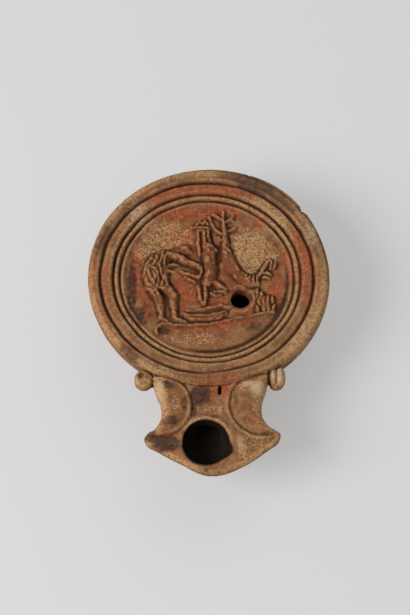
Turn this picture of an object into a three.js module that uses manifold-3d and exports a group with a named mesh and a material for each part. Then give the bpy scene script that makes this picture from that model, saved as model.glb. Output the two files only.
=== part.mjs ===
// A Roman volute lamp of fired clay, moulded in one piece: a round oil chamber under a sunken picture
// disc, and a nozzle with a wick hole between two rounded volutes that start in scroll knobs.
// Millimetres, +Z up. The origin is the middle of the flat base, and the nozzle points to -Y.

import * as THREE from "three";
import { mergeVertices } from "three/addons/utils/BufferGeometryUtils.js";
import Module from "manifold-3d";

const wasm = await Module();
wasm.setup();

// Driving dimensions of the round body
const BODY_RADIUS = 37.6;
const WIDEST_HEIGHT = 24.2;
const RIM_HEIGHT = 27;
const RIM_CREST_RADIUS = 35.2;
const RIM_OFFSET = { x: 0.6, y: 0.7 };
const RIM_BULGE = { degrees: 55, spread: 22, out: 0.7 };
const BASE_RADIUS = 21;
const BASE_EDGE = 1;
const BASE_GROOVE_RADIUS = 17.5;
const BASE_GROOVE_HALF_WIDTH = 0.6;
const BASE_GROOVE_DEPTH = 0.6;
const BOWL_CURVE = 2.2;
const SHOULDER_CURVE = 2.5;
const WALL = 3.4;

// The picture disc, and the grooves that ring it, from the outside in
const DISC_RADIUS = 25;
const DISC_CENTRE_HEIGHT = 23.6;
const DISC_DISH = 0.8;
const LIP = { inner: 24.8, outer: 26.3, rise: 0.7 };
const GROOVES = [
  { radius: 33.1, halfWidth: 0.62, depth: 1.15, step: 0.5 },
  { radius: 29.1, halfWidth: 0.55, depth: 1.1, step: 0.7 },
  { radius: 27.1, halfWidth: 0.52, depth: 1.05, step: 0.7 },
];

// The nozzle, its volutes and its openings
const NOZZLE = { top: 26.3, bottom: 6.8, root: -28, tip: -66.9, edgeRound: 0.9, slope: 0.03 };
const KEEL = { sideCurve: 0.4, frontCurve: 0.35 };
const NOZZLE_WAIST = { halfWidth: 15.3, y: -45.5, rootFlare: 2.4 };
const NOZZLE_CORNER = { halfWidth: 20.4, y: -53.2 };
const VOLUTE = { x: 15.3, y: -43, radius: 9.7, rise: 1.3, edgeRound: 1.7, inset: 0.25 };
const VOLUTE_GROOVE_RADIUS = 0.55;
const KNOB = { x: 20.1, y: -34, radius: 2.5, bottom: 19.4, top: 25.8, eyeRadius: 1 };
const KNOB_NECK = { width: 3.6, length: 6 };
const WICK_HOLE = { x: -2, y: -55.1, radius: 7, lipRadius: 8.3, lipRise: 0.35 };
const WICK_HOLE_CHIP = { x: 5.2, y: -57, radius: 1.6 };
const FILLING_HOLE = { x: 10.1, y: -7, radius: 3, dishRadius: 4.1, dishDepth: 0.5 };
const AIR_SLOT = { x: 2.6, y: -38.4, width: 1.1, length: 3.2 };
const CHANNEL = { rootY: -28, endY: -54, bottom: 15, top: 21.6, halfWidth: 3.6, edgeRadius: 1.2 };
const WICK_CHAMBER = { z: 22, halfWidth: 7, halfLength: 6.8, depth: 7 };

// Facets
const BODY_SEGMENTS = 52;
const CAVITY_SEGMENTS = 30;
const VOLUTE_SEGMENTS = 26;
const RIDGE_SIDES = 6;
const THIN_RIDGE_SIDES = 4;
const THIN_RIDGE = 0.75;

const clay = new THREE.MeshStandardMaterial({ color: 0xa5714a, roughness: 0.85, metalness: 0 });

// Manifold solids from three.js geometry, and back

function solidOf(geometry) {
  const bare = geometry.clone();
  bare.deleteAttribute("normal");
  bare.deleteAttribute("uv");
  const merged = mergeVertices(bare, 1e-4);
  const corners = merged.index.array;
  const kept = [];
  for (let i = 0; i < corners.length; i += 3) {
    const [a, b, c] = corners.slice(i, i + 3);
    if (a !== b && b !== c && c !== a) kept.push(a, b, c);
  }
  const vertProperties = merged.attributes.position.array;
  const mesh = new wasm.Mesh({ numProp: 3, vertProperties, triVerts: new Uint32Array(kept) });
  return new wasm.Manifold(mesh);
}

function geometryOf(solid) {
  const mesh = solid.getMesh();
  const geometry = new THREE.BufferGeometry();
  geometry.setAttribute("position", new THREE.BufferAttribute(mesh.vertProperties, 3));
  geometry.setIndex(new THREE.BufferAttribute(mesh.triVerts, 1));
  geometry.computeVertexNormals();
  return geometry;
}

function join(solids) {
  return solids.reduce((all, solid) => all.add(solid));
}

// A solid of revolution about Z, from [radius, height] pairs that run from the axis below to the axis above
function turned(profile, segments) {
  const points = profile.map(([radius, height]) => new THREE.Vector2(radius, height));
  return new THREE.LatheGeometry(points, segments).rotateX(Math.PI / 2);
}

function smoothStep(low, high, value) {
  return THREE.MathUtils.smoothstep(value, low, high);
}

// Height of the picture disc and its rings at a distance from the axis
function discHeight(radius) {
  const dish = DISC_DISH * Math.min(radius / DISC_RADIUS, 1) ** 2;
  let height = DISC_CENTRE_HEIGHT + dish + LIP.rise * smoothStep(LIP.inner, LIP.outer, radius);
  for (const groove of GROOVES) {
    const across = (radius - groove.radius) / groove.halfWidth;
    height += groove.step * smoothStep(-1, 1, across);
    height -= groove.depth * Math.exp(-across * across);
  }
  return height;
}

// Outer radius of the bowl at a height between the base and its widest line
function bowlRadius(height) {
  const below = (WIDEST_HEIGHT - height) / (WIDEST_HEIGHT - BASE_EDGE);
  return BODY_RADIUS - (BODY_RADIUS - BASE_RADIUS) * below ** BOWL_CURVE;
}

function baseProfile() {
  const inner = BASE_GROOVE_RADIUS - BASE_GROOVE_HALF_WIDTH;
  const outer = BASE_GROOVE_RADIUS + BASE_GROOVE_HALF_WIDTH;
  return [
    [0, 0],
    [inner, 0],
    [BASE_GROOVE_RADIUS, BASE_GROOVE_DEPTH],
    [outer, 0],
    [BASE_RADIUS - BASE_EDGE / 2, 0],
  ];
}

function bowlProfile(steps) {
  const points = [];
  for (let i = 0; i <= steps; i += 1) {
    const height = BASE_EDGE + ((WIDEST_HEIGHT - BASE_EDGE) * i) / steps;
    points.push([bowlRadius(height), height]);
  }
  return points;
}

// The rounded shoulder, a squared-off quarter ellipse from the widest line up to the rim's crest
function shoulderProfile(steps) {
  const points = [];
  for (let i = 1; i <= steps; i += 1) {
    const angle = (i / steps) * (Math.PI / 2);
    const out = Math.cos(angle) ** (2 / SHOULDER_CURVE);
    const up = Math.sin(angle) ** (2 / SHOULDER_CURVE);
    const radius = RIM_CREST_RADIUS + (BODY_RADIUS - RIM_CREST_RADIUS) * out;
    points.push([radius, WIDEST_HEIGHT + (discHeight(RIM_CREST_RADIUS) - WIDEST_HEIGHT) * up]);
  }
  return points;
}

function discProfile() {
  const across = [1.5, 0.4, -0.4, -1.5];
  const radii = [(GROOVES[0].radius + GROOVES[1].radius) / 2, LIP.inner, DISC_RADIUS * 0.6, 0];
  for (const groove of GROOVES) {
    radii.push(...across.map((share) => groove.radius + share * groove.halfWidth));
  }
  radii.sort((a, b) => b - a);
  return radii.map((radius) => [radius, discHeight(radius)]);
}

// The rim's outer edge and the bowl below it stand a little off the axis of the grooves and the base,
// and swell to one side
function body() {
  const profile = [...baseProfile(), ...bowlProfile(7), ...shoulderProfile(4), ...discProfile()];
  const round = turned(profile, BODY_SEGMENTS);
  const places = round.attributes.position;
  for (let i = 0; i < places.count; i += 1) {
    const radius = Math.hypot(places.getX(i), places.getY(i));
    const inBowl = places.getZ(i) < WIDEST_HEIGHT;
    const share = smoothStep(inBowl ? BASE_RADIUS : RIM_CREST_RADIUS - 1, BODY_RADIUS, radius);
    const angle = Math.atan2(places.getY(i), places.getX(i));
    const aside = (THREE.MathUtils.radToDeg(angle) - RIM_BULGE.degrees) / RIM_BULGE.spread;
    const bulge = RIM_BULGE.out * Math.exp(-aside * aside);
    places.setX(i, places.getX(i) + share * (RIM_OFFSET.x + bulge * Math.cos(angle)));
    places.setY(i, places.getY(i) + share * (RIM_OFFSET.y + bulge * Math.sin(angle)));
  }
  return solidOf(round);
}

// The oil chamber: the bowl's inside at one wall's thickness, under the disc and the rim
function oilChamber() {
  const floor = WALL;
  const ceiling = DISC_CENTRE_HEIGHT - WALL;
  const shoulder = RIM_HEIGHT - 1.5 * WALL;
  const profile = [[0, floor]];
  const steps = 5;
  for (let i = 0; i <= steps; i += 1) {
    const height = floor + WALL / 3 + ((ceiling - floor - WALL / 3) * i) / steps;
    profile.push([bowlRadius(height) - WALL * (i === 0 ? 1.6 : 1.1), height]);
  }
  profile.push([BODY_RADIUS - 1.6 * WALL, shoulder]);
  profile.push([GROOVES[1].radius, shoulder]);
  profile.push([DISC_RADIUS, ceiling]);
  profile.push([0, ceiling]);
  return solidOf(turned(profile, CAVITY_SEGMENTS));
}

// Height of the nozzle's sloping plate
function plateHeight(y) {
  return NOZZLE.top + NOZZLE.slope * (y - NOZZLE.root);
}

// Plan of the nozzle: in from the shoulder to a waist, out to two corners, and on to a blunt tip
function nozzlePlan() {
  const { halfWidth: waist, y: waistY, rootFlare } = NOZZLE_WAIST;
  const root = waist + rootFlare;
  const { halfWidth: corner, y: cornerY } = NOZZLE_CORNER;
  const frontSlope = (cornerY - 2.2 - NOZZLE.tip) / (corner - 1);
  const bluntX = 6;
  const bluntY = NOZZLE.tip + bluntX * frontSlope;
  const plan = new THREE.Shape();
  plan.moveTo(-root, NOZZLE.root);
  plan.bezierCurveTo(-root, waistY + 10, -waist + 0.2, waistY + 5.5, -waist - 0.1, waistY - 1);
  plan.quadraticCurveTo(-waist - 1, waistY - 4, -corner + 1, cornerY + 1.6);
  plan.quadraticCurveTo(-corner - 0.9, cornerY + 0.3, -corner + 1, cornerY - 2.2);
  plan.lineTo(-bluntX, bluntY);
  plan.quadraticCurveTo(0, NOZZLE.tip, bluntX, bluntY);
  plan.lineTo(corner - 1, cornerY - 2.2);
  plan.quadraticCurveTo(corner + 0.9, cornerY + 0.3, corner - 1, cornerY + 1.6);
  plan.quadraticCurveTo(waist + 1, waistY - 4, waist + 0.1, waistY - 1);
  plan.bezierCurveTo(waist - 0.2, waistY + 5.5, root, waistY + 10, root, NOZZLE.root);
  plan.closePath();
  return plan;
}

// The nozzle's block: its plan drawn down into a boat-shaped keel that runs back under the bowl
function nozzleBlock(rise, edgeRound, inset) {
  const top = NOZZLE.top + rise;
  const options = { depth: 1, steps: 6, curveSegments: 5, bevelEnabled: false };
  const block = new THREE.ExtrudeGeometry(nozzlePlan(), options);
  const places = block.attributes.position;
  for (let i = 0; i < places.count; i += 1) {
    const below = (top - NOZZLE.bottom) * (1 - places.getZ(i)) ** 1.6;
    const height = top - below;
    const depth = Math.max(0, (NOZZLE.top - height) / (NOZZLE.top - NOZZLE.bottom));
    const left = Math.max(0, 1 - depth * depth);
    const rounding = edgeRound * Math.max(0, 1 - below / edgeRound) ** 2;
    const rounded = 1 - (inset + rounding) / NOZZLE_CORNER.halfWidth;
    const out = (places.getY(i) - NOZZLE.root) * rounded;
    places.setX(i, places.getX(i) * rounded * Math.max(0.1, left ** KEEL.sideCurve));
    places.setY(i, NOZZLE.root + out * Math.max(0.05, left ** KEEL.frontCurve));
    places.setZ(i, height + NOZZLE.slope * out * (1 - depth));
  }
  return solidOf(block);
}

// One volute's low dome, a cap of a large sphere
function voluteDome(side) {
  const { x, y, radius, rise } = VOLUTE;
  const sphere = (radius * radius + rise * rise) / (2 * rise);
  const top = plateHeight(y) + rise;
  const profile = [[0, top - 2 * rise - 2]];
  profile.push([radius, top - 2 * rise - 2]);
  for (let i = 2; i >= 0; i -= 1) {
    const out = (radius * i) / 2;
    profile.push([out, top - sphere + Math.sqrt(sphere * sphere - out * out)]);
  }
  return solidOf(turned(profile, VOLUTE_SEGMENTS).translate(side * x, y, 0));
}

function voluteGroove(side) {
  const ring = new THREE.TorusGeometry(VOLUTE.radius, VOLUTE_GROOVE_RADIUS, 4, VOLUTE_SEGMENTS);
  const height = plateHeight(VOLUTE.y) + VOLUTE_GROOVE_RADIUS * 0.3;
  return solidOf(ring.translate(side * VOLUTE.x, VOLUTE.y, height));
}

// A scroll knob: a short post with a rounded foot and an eye pressed into its top, and the neck that
// ties it to the shoulder
function scrollKnob(side) {
  const { x, y, radius, bottom, top, eyeRadius } = KNOB;
  const profile = [
    [0, bottom],
    [radius * 0.7, bottom + radius * 0.3],
    [radius, bottom + radius],
    [radius, top - radius * 0.35],
    [radius * 0.75, top],
    [eyeRadius, top],
    [0, top - eyeRadius * 0.7],
  ];
  const stem = solidOf(turned(profile, 12).translate(side * x, y, 0));
  const neckHeight = top - bottom - 1.5 * radius;
  const neck = new THREE.BoxGeometry(KNOB_NECK.length, KNOB_NECK.width, neckHeight);
  neck.translate(Math.hypot(x, y) - KNOB_NECK.length / 2, 0, bottom + radius + neckHeight / 2);
  return stem.add(solidOf(neck.rotateZ(Math.atan2(y, side * x))));
}

// The low lip that rings the wick hole
function wickLip() {
  const { x, y, radius, lipRadius, lipRise } = WICK_HOLE;
  const profile = [[0, -WALL], [lipRadius, -WALL], [lipRadius, 0], [radius + 0.6, lipRise], [0, lipRise]];
  return solidOf(turned(profile, 30).translate(x, y, plateHeight(y)));
}

function nozzle() {
  const envelope = nozzleBlock(VOLUTE.rise, VOLUTE.edgeRound, VOLUTE.inset);
  let block = nozzleBlock(0, NOZZLE.edgeRound, 0);
  for (const side of [-1, 1]) block = block.subtract(voluteGroove(side));
  for (const side of [-1, 1]) block = block.add(voluteDome(side).intersect(envelope));
  const inRim = post(0, 0, RIM_CREST_RADIUS, WIDEST_HEIGHT - WALL, RIM_HEIGHT + 3, 28);
  return join([block.subtract(inRim), wickLip(), scrollKnob(-1), scrollKnob(1)]);
}

// Openings

function post(x, y, radius, bottom, top, sides) {
  const cylinder = new THREE.CylinderGeometry(radius, radius, top - bottom, sides).rotateX(Math.PI / 2);
  return solidOf(cylinder.translate(x, y, (bottom + top) / 2));
}

function wickOpening() {
  const { x, y, radius } = WICK_HOLE;
  const { z, halfWidth, halfLength, depth } = WICK_CHAMBER;
  const chamber = new THREE.SphereGeometry(1, 20, 8).scale(halfWidth, halfLength, depth);
  const chip = new THREE.IcosahedronGeometry(WICK_HOLE_CHIP.radius);
  return join([
    post(x, y, radius, z, RIM_HEIGHT + 3, 30),
    solidOf(chamber.translate(x, y, z)),
    solidOf(chip.translate(WICK_HOLE_CHIP.x, WICK_HOLE_CHIP.y, plateHeight(WICK_HOLE_CHIP.y))),
  ]);
}

// The level channel that feeds oil from the chamber to the wick, with rounded edges along it
function wickChannel() {
  const { rootY, endY, bottom, top, halfWidth, edgeRadius } = CHANNEL;
  const x = halfWidth - edgeRadius;
  const z = (top - bottom) / 2 - edgeRadius;
  const section = new THREE.Shape();
  section.absarc(x, z, edgeRadius, 0, 0.5 * Math.PI);
  section.absarc(-x, z, edgeRadius, 0.5 * Math.PI, Math.PI);
  section.absarc(-x, -z, edgeRadius, Math.PI, 1.5 * Math.PI);
  section.absarc(x, -z, edgeRadius, 1.5 * Math.PI, 2 * Math.PI);
  const options = { depth: rootY - endY, curveSegments: 3, bevelEnabled: false };
  const tube = new THREE.ExtrudeGeometry(section, options).rotateX(Math.PI / 2);
  return solidOf(tube.translate(WICK_HOLE.x / 2, rootY, (bottom + top) / 2));
}

function fillingOpening() {
  const { x, y, radius, dishRadius, dishDepth } = FILLING_HOLE;
  const height = discHeight(Math.hypot(x, y));
  const dish = [
    [0, -dishDepth],
    [radius, -dishDepth],
    [dishRadius, 0.2],
    [dishRadius, 4],
    [0, 4],
  ];
  const bowl = solidOf(turned(dish, 24).translate(x, y, height));
  return bowl.add(post(x, y, radius, DISC_CENTRE_HEIGHT - 2 * WALL, RIM_HEIGHT + 3, 24));
}

function airSlot() {
  const { x, y, width, length } = AIR_SLOT;
  const slot = new THREE.BoxGeometry(width, length, 3 * WALL);
  return solidOf(slot.translate(x, y, NOZZLE.top - WALL));
}

// Relief on the picture disc: rounded ridges through points [x, y, half width], half sunk in the floor.
// Each ridge is a lathe's rows laid along the points, with a blunt end beyond the first and the last.

function ridge(points, height) {
  const rows = [[0, 0], ...points.map((_, i) => [1, i + 1]), [0, points.length + 1]];
  const profile = rows.map(([radius, row]) => new THREE.Vector2(radius, row));
  const widest = Math.max(...points.map(([, , halfWidth]) => halfWidth));
  const sides = widest < THIN_RIDGE ? THIN_RIDGE_SIDES : RIDGE_SIDES;
  const skin = new THREE.LatheGeometry(profile, sides);
  const places = skin.attributes.position;
  const last = points.length - 1;
  for (let i = 0; i < places.count; i += 1) {
    const row = Math.round(places.getY(i)) - 1;
    const at = THREE.MathUtils.clamp(row, 0, last);
    const [x, y, halfWidth] = points[at];
    const before = points[Math.max(at - 1, 0)];
    const after = points[Math.min(at + 1, last)];
    const angle = Math.atan2(after[1] - before[1], after[0] - before[0]);
    const along = (row - at) * halfWidth;
    const across = places.getX(i) * halfWidth;
    const placeX = x + along * Math.cos(angle) + across * Math.sin(angle);
    const placeY = y + along * Math.sin(angle) - across * Math.cos(angle);
    const floor = discHeight(Math.min(Math.hypot(x, y), DISC_RADIUS * 0.95));
    places.setXYZ(i, placeX, placeY, floor + height * places.getZ(i));
  }
  return solidOf(skin);
}

// Leaves that spread from one point, each a short tapering ridge
function fan(x, y, angles, length, height) {
  return angles.map((degrees) => {
    const angle = THREE.MathUtils.degToRad(degrees);
    const middle = [x + 0.6 * length * Math.cos(angle), y + 0.6 * length * Math.sin(angle), 0.7];
    const tip = [x + length * Math.cos(angle), y + length * Math.sin(angle), 0.3];
    return ridge([[x, y, 0.3], middle, tip], height);
  });
}

// A herdsman in a short fleece kilt, who bends to the right with both arms out
function herdsman() {
  const parts = [
    ridge([[-16.8, -2.6, 2.6], [-16.7, 1, 3.2], [-15.8, 5, 3.5], [-12.8, 7.8, 2.9], [-10.2, 8.8, 1.8]], 1.3),
    ridge([[-9.8, 9.2, 0.9], [-8.2, 9.8, 1], [-7.2, 10.3, 1.9], [-5.6, 10.7, 1.6]], 1),
    ridge([[-11.2, 8.2, 1.6], [-6.6, 6, 1.3], [-2, 4.2, 0.9]], 1.6),
    ridge([[-11.8, 4.5, 1.1], [-7.4, 2.6, 1], [-3.2, 0.7, 0.8]], 0.9),
    ridge([[-15.8, -3.4, 1.9], [-14.8, -7.6, 1.5], [-14.7, -12.6, 1], [-12.9, -13.9, 0.7]], 1.1),
    ridge([[-13.8, -1.8, 2], [-10.7, -5.8, 1.5], [-10.3, -12.6, 1], [-8.5, -14.1, 0.7]], 1.2),
  ];
  const folds = 6;
  for (let i = 0; i < folds; i += 1) {
    const share = i / (folds - 1);
    const x = -19 + 1.6 * share * share;
    const y = 4.4 - 8 * share;
    parts.push(ridge([[x, y, 0.4], [x + 4.4 - share, y + 2.2 - 5 * share, 0.45]], 1.7));
  }
  return parts;
}

// A carcass that hangs from a stick by its hind legs, with its forelegs near the ground
function carcass() {
  return [
    ridge([[-4, 18.6, 0.45], [1.4, 18.5, 0.5]], 0.8),
    ...fan(-0.5, 17.6, [60, 95, 130], 2.2, 0.8),
    ridge([[-2.3, 16.5, 0.4], [-1.9, 9.5, 0.4]], 0.7),
    ridge([[-0.4, 16.6, 1.3], [0.2, 13, 1.8], [1, 8.6, 2.3], [1, 3.6, 2], [0.5, -0.5, 2.2]], 1.3),
    ridge([[-1.7, -1.4, 0.9], [-1.4, -8.2, 0.5]], 1),
    ridge([[0.3, -2, 0.9], [-0.5, -8, 0.5]], 1),
    ridge([[1.8, 0, 1.3], [4.4, -2.8, 0.9], [6.3, -3.6, 0.7]], 0.9),
    ridge([[1.3, -4.5, 0.4], [4.6, -3.9, 0.5]], 0.7),
  ];
}

// The tree behind the carcass, its boughs, and the stump of rock that it grows from
function tree() {
  return [
    ridge([[5.8, 23, 0.4], [6.1, 19.2, 0.6], [6.8, 14.8, 0.9], [7, 10.7, 1.5], [6.9, 7.2, 2]], 1.1),
    ridge([[6.9, 7.2, 1.9], [8.2, 3.6, 2.3], [11.2, 0.8, 1.8], [14.4, -0.9, 1.1]], 1.1),
    ridge([[6, 19.6, 0.4], [2.1, 22.2, 0.4]], 0.8),
    ridge([[6.3, 19.4, 0.4], [9, 21.5, 0.45]], 0.8),
    ridge([[6.7, 16.2, 0.4], [9.7, 17.7, 0.35]], 0.8),
    ridge([[1.3, 21.4, 0.4], [2.6, 17.9, 0.5], [5.9, 15.9, 0.5]], 0.8),
  ];
}

// A shrub to the right of the tree, and a leafy rock below it
function undergrowth() {
  return [
    ridge([[14.4, -0.9, 1], [16.6, 1.5, 0.7], [18.3, 3.6, 0.6]], 0.9),
    ...fan(18.3, 3.6, [15, 60, 100], 2.9, 1),
    ...fan(17, 1.6, [-25], 2.2, 0.9),
    ...fan(14.4, -1.6, [60, 90, 115], 2.3, 1.2),
    ...fan(15.8, -5.8, [40, 90, 140], 2.7, 1),
    ...fan(18, -8.4, [35, 85, 135], 2.7, 1),
    ...fan(17.8, -11, [45, 90, 135], 2.4, 1),
  ];
}

// The ground's edge, with a hooked root at its left end, and a shallow basin that stands on it
function ground() {
  return [
    ridge([[-15.6, -17.6, 0.35], [-15.8, -16, 0.5], [-14, -14.9, 0.5], [-1.1, -15, 0.5]], 0.6),
    ridge([[-1.1, -15, 0.5], [7.8, -13.1, 0.5], [19.4, -11.4, 0.4]], 0.6),
    ridge([[-7.5, -12.1, 0.3], [-5, -13.1, 0.8], [-1.6, -13.6, 1], [2, -13, 0.9], [5, -11.1, 0.3]], 1),
    ridge([[3.6, -9.6, 0.8], [6.2, -9.2, 0.8]], 0.7),
  ];
}

function lamp() {
  const relief = join([...herdsman(), ...carcass(), ...tree(), ...undergrowth(), ...ground()]);
  const hollow = join([oilChamber(), wickChannel(), wickOpening()]);
  const shell = body().add(nozzle()).subtract(hollow);
  const pierced = shell.add(relief).subtract(fillingOpening()).subtract(airSlot());
  const mesh = new THREE.Mesh(geometryOf(pierced), clay);
  mesh.name = "lamp";
  return mesh;
}

const roman_oil_lamp = new THREE.Group();
roman_oil_lamp.add(lamp());

export default roman_oil_lamp;
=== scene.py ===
"""A Roman volute lamp of fired clay: worn red slip, tan crust, dirt in the grooves and soot at the wick.

Sizes are in millimetres, in the CAD model's frame: +Z up, the nozzle towards -Y. Meshes are made in
metres. The lamp is one piece, in finer detail than the CAD solid that it stands for.
"""

import math
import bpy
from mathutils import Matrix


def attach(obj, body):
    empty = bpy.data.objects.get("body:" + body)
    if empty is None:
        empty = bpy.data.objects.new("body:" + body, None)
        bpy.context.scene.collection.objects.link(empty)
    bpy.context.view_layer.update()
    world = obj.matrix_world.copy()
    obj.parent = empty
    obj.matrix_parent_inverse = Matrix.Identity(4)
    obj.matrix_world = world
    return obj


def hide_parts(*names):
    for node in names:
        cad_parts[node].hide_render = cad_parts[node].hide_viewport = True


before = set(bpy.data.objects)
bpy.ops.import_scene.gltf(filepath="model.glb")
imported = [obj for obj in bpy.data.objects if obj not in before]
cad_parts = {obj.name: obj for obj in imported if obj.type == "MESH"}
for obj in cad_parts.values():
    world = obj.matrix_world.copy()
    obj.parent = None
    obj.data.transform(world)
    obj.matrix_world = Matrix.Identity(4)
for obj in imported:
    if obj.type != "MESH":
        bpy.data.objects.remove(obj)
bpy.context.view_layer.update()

from types import SimpleNamespace as Sizes

import bpy
import numpy as np
from mathutils import Matrix, Vector

MM = 0.001

# Sizes of the lamp, close to the CAD model's

BODY_RADIUS = 37.6
WIDEST_HEIGHT = 24.2
RIM_HEIGHT = 27.0
RIM_CREST_RADIUS = 35.2
RIM_DROP = 2.6
RIM_OFFSET = np.array([0.6, 0.7])
RIM_SWELLS = [Sizes(degrees=55, spread=22, out=0.7), Sizes(degrees=-84, spread=24, out=-0.45)]
BASE_RADIUS = 21.0
BASE_EDGE = 1.0
BOWL_CURVE = 2.2
SHOULDER_CURVE = 2.5
WALL = 3.4
DISC_RADIUS = 25.0
DISC_CENTRE_HEIGHT = 23.6
DISC_DISH = 0.8
LIP = Sizes(inner=24.8, outer=26.3, rise=0.7)
GROOVES = [
    Sizes(radius=33.1, half_width=0.52, depth=1.1, step=0.5),
    Sizes(radius=29.1, half_width=0.48, depth=1.05, step=0.7),
    Sizes(radius=27.1, half_width=0.46, depth=1.0, step=0.7),
]
NOZZLE = Sizes(top=26.3, bottom=6.8, root=-28.0, tip=-66.7, slope=0.03, edge_round=1.1)
KEEL = Sizes(side_curve=0.4, front_curve=0.35, least_side=0.1, least_front=0.05)
FRONT_SWELL = Sizes(x=11, spread=5.5, out=0.95, start=-51, end=-57)
WAIST = Sizes(x=15.0, y=-45.5, root_flare=2.4)
CORNER = Sizes(x=20.4, y=-53.2)
VOLUTE = Sizes(x=15.3, y=-43.0, radius=9.7, rise=1.2, dome=0.8, edge_round=1.7)
KNOB = Sizes(x=20.1, y=-33.6, radius=2.85, bottom=19.4, top=25.9, edge=1.6)
KNOB_EYE = Sizes(x=-20.8, y=-33.0, radii=(1.2, 1.1, 1.0))
KNOB_NECK = Sizes(inset=2.4, z=22.8, radii=(3.2, 1.9, 2.4))
KNOB_WEB = Sizes(x=17.6, behind=0.7, z=21.8, radii=(1.5, 2.3, 2.8))
WICK_HOLE = Sizes(x=-2.0, y=-54.8, radius=7.0)
WICK_BITE = Sizes(share=0.23, jag=0.05, unround=0.01)
WICK_CHAMBER = Sizes(z=22.0, radii=(7.0, 6.8, 7.0))
CHANNEL = Sizes(x=-1.0, half_width=3.6, root=-28.0, end=-54.0, bottom=15.0, top=21.6)
FILLING_HOLE = Sizes(x=10.1, y=-7.0, radius=3.0, dish=4.2, dish_depth=0.45)
AIR_SLOT = Sizes(x=2.6, y=-38.4, width=1.2, length=3.2, slant=0.08)

# Rings on the top (radius, half width, height): the line and the roll round each volute, measured from its
# rim, the groove where the nozzle meets the rim, the wick hole's lip and worn front, and the dish's wall

VOLUTE_LINE = (0, 0.32, -0.42)
VOLUTE_ROLL = (0.85, 0.42, 0.34)
JUNCTION = (36.5, 0.32, -0.4)
WICK_LIP = (7.7, 0.6, 1)
WICK_WEAR = (6.8, 1.1, -0.5)
DISH_WALL = (4.3, 0.5, 0.5)

# Profiles: the foot's edge and ring groove (radius, height), the wick hole's wall (more than its radius,
# height), and the right knob's two folds and lobe (place from the knob's middle, radii)

FOOT_EDGE = [(20.8, 0.4), (20.4, 0.05), (19.9, 0)]
FOOT_GROOVE = [(18.3, 0), (17.9, 0.3), (17.5, 0.6), (17.1, 0.3), (16.7, 0), (8, 0)]
WICK_WALL = [(-0.1, 20.5), (-0.1, 23.5), (0, 25), (0.25, 27), (0.25, 30)]
RIGHT_KNOB = [
    ((1.1, 0.1, 23.2), (1.6, 3.3, 2.9)),
    ((-1.1, 0.1, 23.4), (1.3, 3.0, 2.9)),
    ((-0.1, -2.0, 22.1), (2.1, 1.5, 2.2)),
]

# Unevenness of the clay, in layers of (height, size of the lumps, seed)

DISC_LUMPS = [(0.10, 9, 11), (0.05, 2.2, 12)]
RING_WAVER = [(0.14, 8, 13), (0.07, 2.5, 14)]
NOZZLE_LUMPS = [(0.12, 6, 21), (0.09, 2, 22)]
BODY_LUMPS = [(0.14, 11, 41), (0.07, 3, 42)]
KEEL_LUMPS = [(0.15, 9, 51), (0.07, 2.5, 52)]
MOULD_WEAR_X = [(0.26, 1.7, 91), (0.12, 0.8, 92)]
MOULD_WEAR_Y = [(0.26, 1.7, 93), (0.12, 0.8, 94)]

# The mesh's fineness

DISC_CELLS = 220
GRID_RADIUS = 25.2
TOP_RINGS = np.arange(25.45, 35.05, 0.24)
SHOULDER_STEPS = 10
BOWL_STEPS = 16
NOZZLE_ROW = 0.4
TIP_ROWS = np.array([0.9, 0.6, 0.35, 0.18, 0.07, 0.02])
NOZZLE_COLUMNS = 91
KEEL_LOOPS = 21
RELIEF_STEP = 0.12
TOP_STEP = 0.15
CUT_TOP = 30


# Small helpers on arrays

def smooth(low, high, value):
    """0 below low, 1 above high, and an even curve between."""
    share = np.clip((value - low) / (high - low), 0, 1)
    return share * share * (3 - 2 * share)


def bump(value):
    """A soft bell, 1 at 0."""
    return np.exp(-value * value)


def round_ridge(away, shape):
    """A round ridge or groove of (radius, half width, height), at distances from its middle."""
    radius, half_width, height = shape
    return height * bump((away - radius) / half_width)


def hashed(cells, seed):
    """Values from 0 to 1 for whole-number cells, the same on every run."""
    cells = cells.astype(np.int64)
    mixed = cells[..., 0] * 73856093 ^ cells[..., 1] * 19349663 ^ cells[..., 2] * 83492791
    mixed = (mixed ^ (seed * 40503)) & 0xFFFFFFFF
    mixed = ((mixed ^ (mixed >> 13)) * 1274126177) & 0xFFFFFFFF
    mixed = mixed ^ (mixed >> 16)
    return (mixed & 0xFFFF) / 65535.0


def noise(points, size, seed):
    """Smooth noise from -1 to 1, with lumps of about the given size."""
    at = points / size + 500.0
    low = np.floor(at)
    share = at - low
    share = share * share * (3 - 2 * share)
    total = np.zeros(len(points))
    for corner in np.ndindex(2, 2, 2):
        weight = np.prod(np.where(corner, share, 1 - share), axis=1)
        total += weight * hashed(low + corner, seed)
    return 2 * total - 1


def rough(points, size, seed):
    """Noise in three sizes, each half of the last."""
    total = noise(points, size, seed)
    total = total + 0.5 * noise(points, size / 2, seed + 1)
    return (total + 0.25 * noise(points, size / 4, seed + 2)) / 1.75


def lumps(points, layers):
    """The sum of several noises, each given by its height, size and seed."""
    return sum(height * noise(points, size, seed) for height, size, seed in layers)


def plan_points(x, y):
    """Points of the plan, at height 0."""
    return np.stack([x, y, np.zeros_like(x)], axis=1)


# Heights of the top, seen in plan

def disc_height(radius, depth_share=1.0):
    height = DISC_CENTRE_HEIGHT + DISC_DISH * np.minimum(radius / DISC_RADIUS, 1) ** 2
    height = height + LIP.rise * smooth(LIP.inner, LIP.outer, radius)
    for groove in GROOVES:
        across = (radius - groove.radius) / groove.half_width
        height = height + groove.step * smooth(-1, 1, across)
        height = height - groove.depth * depth_share * bump(across)
    return height


def plate_height(y):
    """Height of the nozzle's plain top, which slopes down to the tip."""
    return NOZZLE.top + NOZZLE.slope * (y - NOZZLE.root)


# Relief: rounded ridges through points (x, y, half width)

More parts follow.
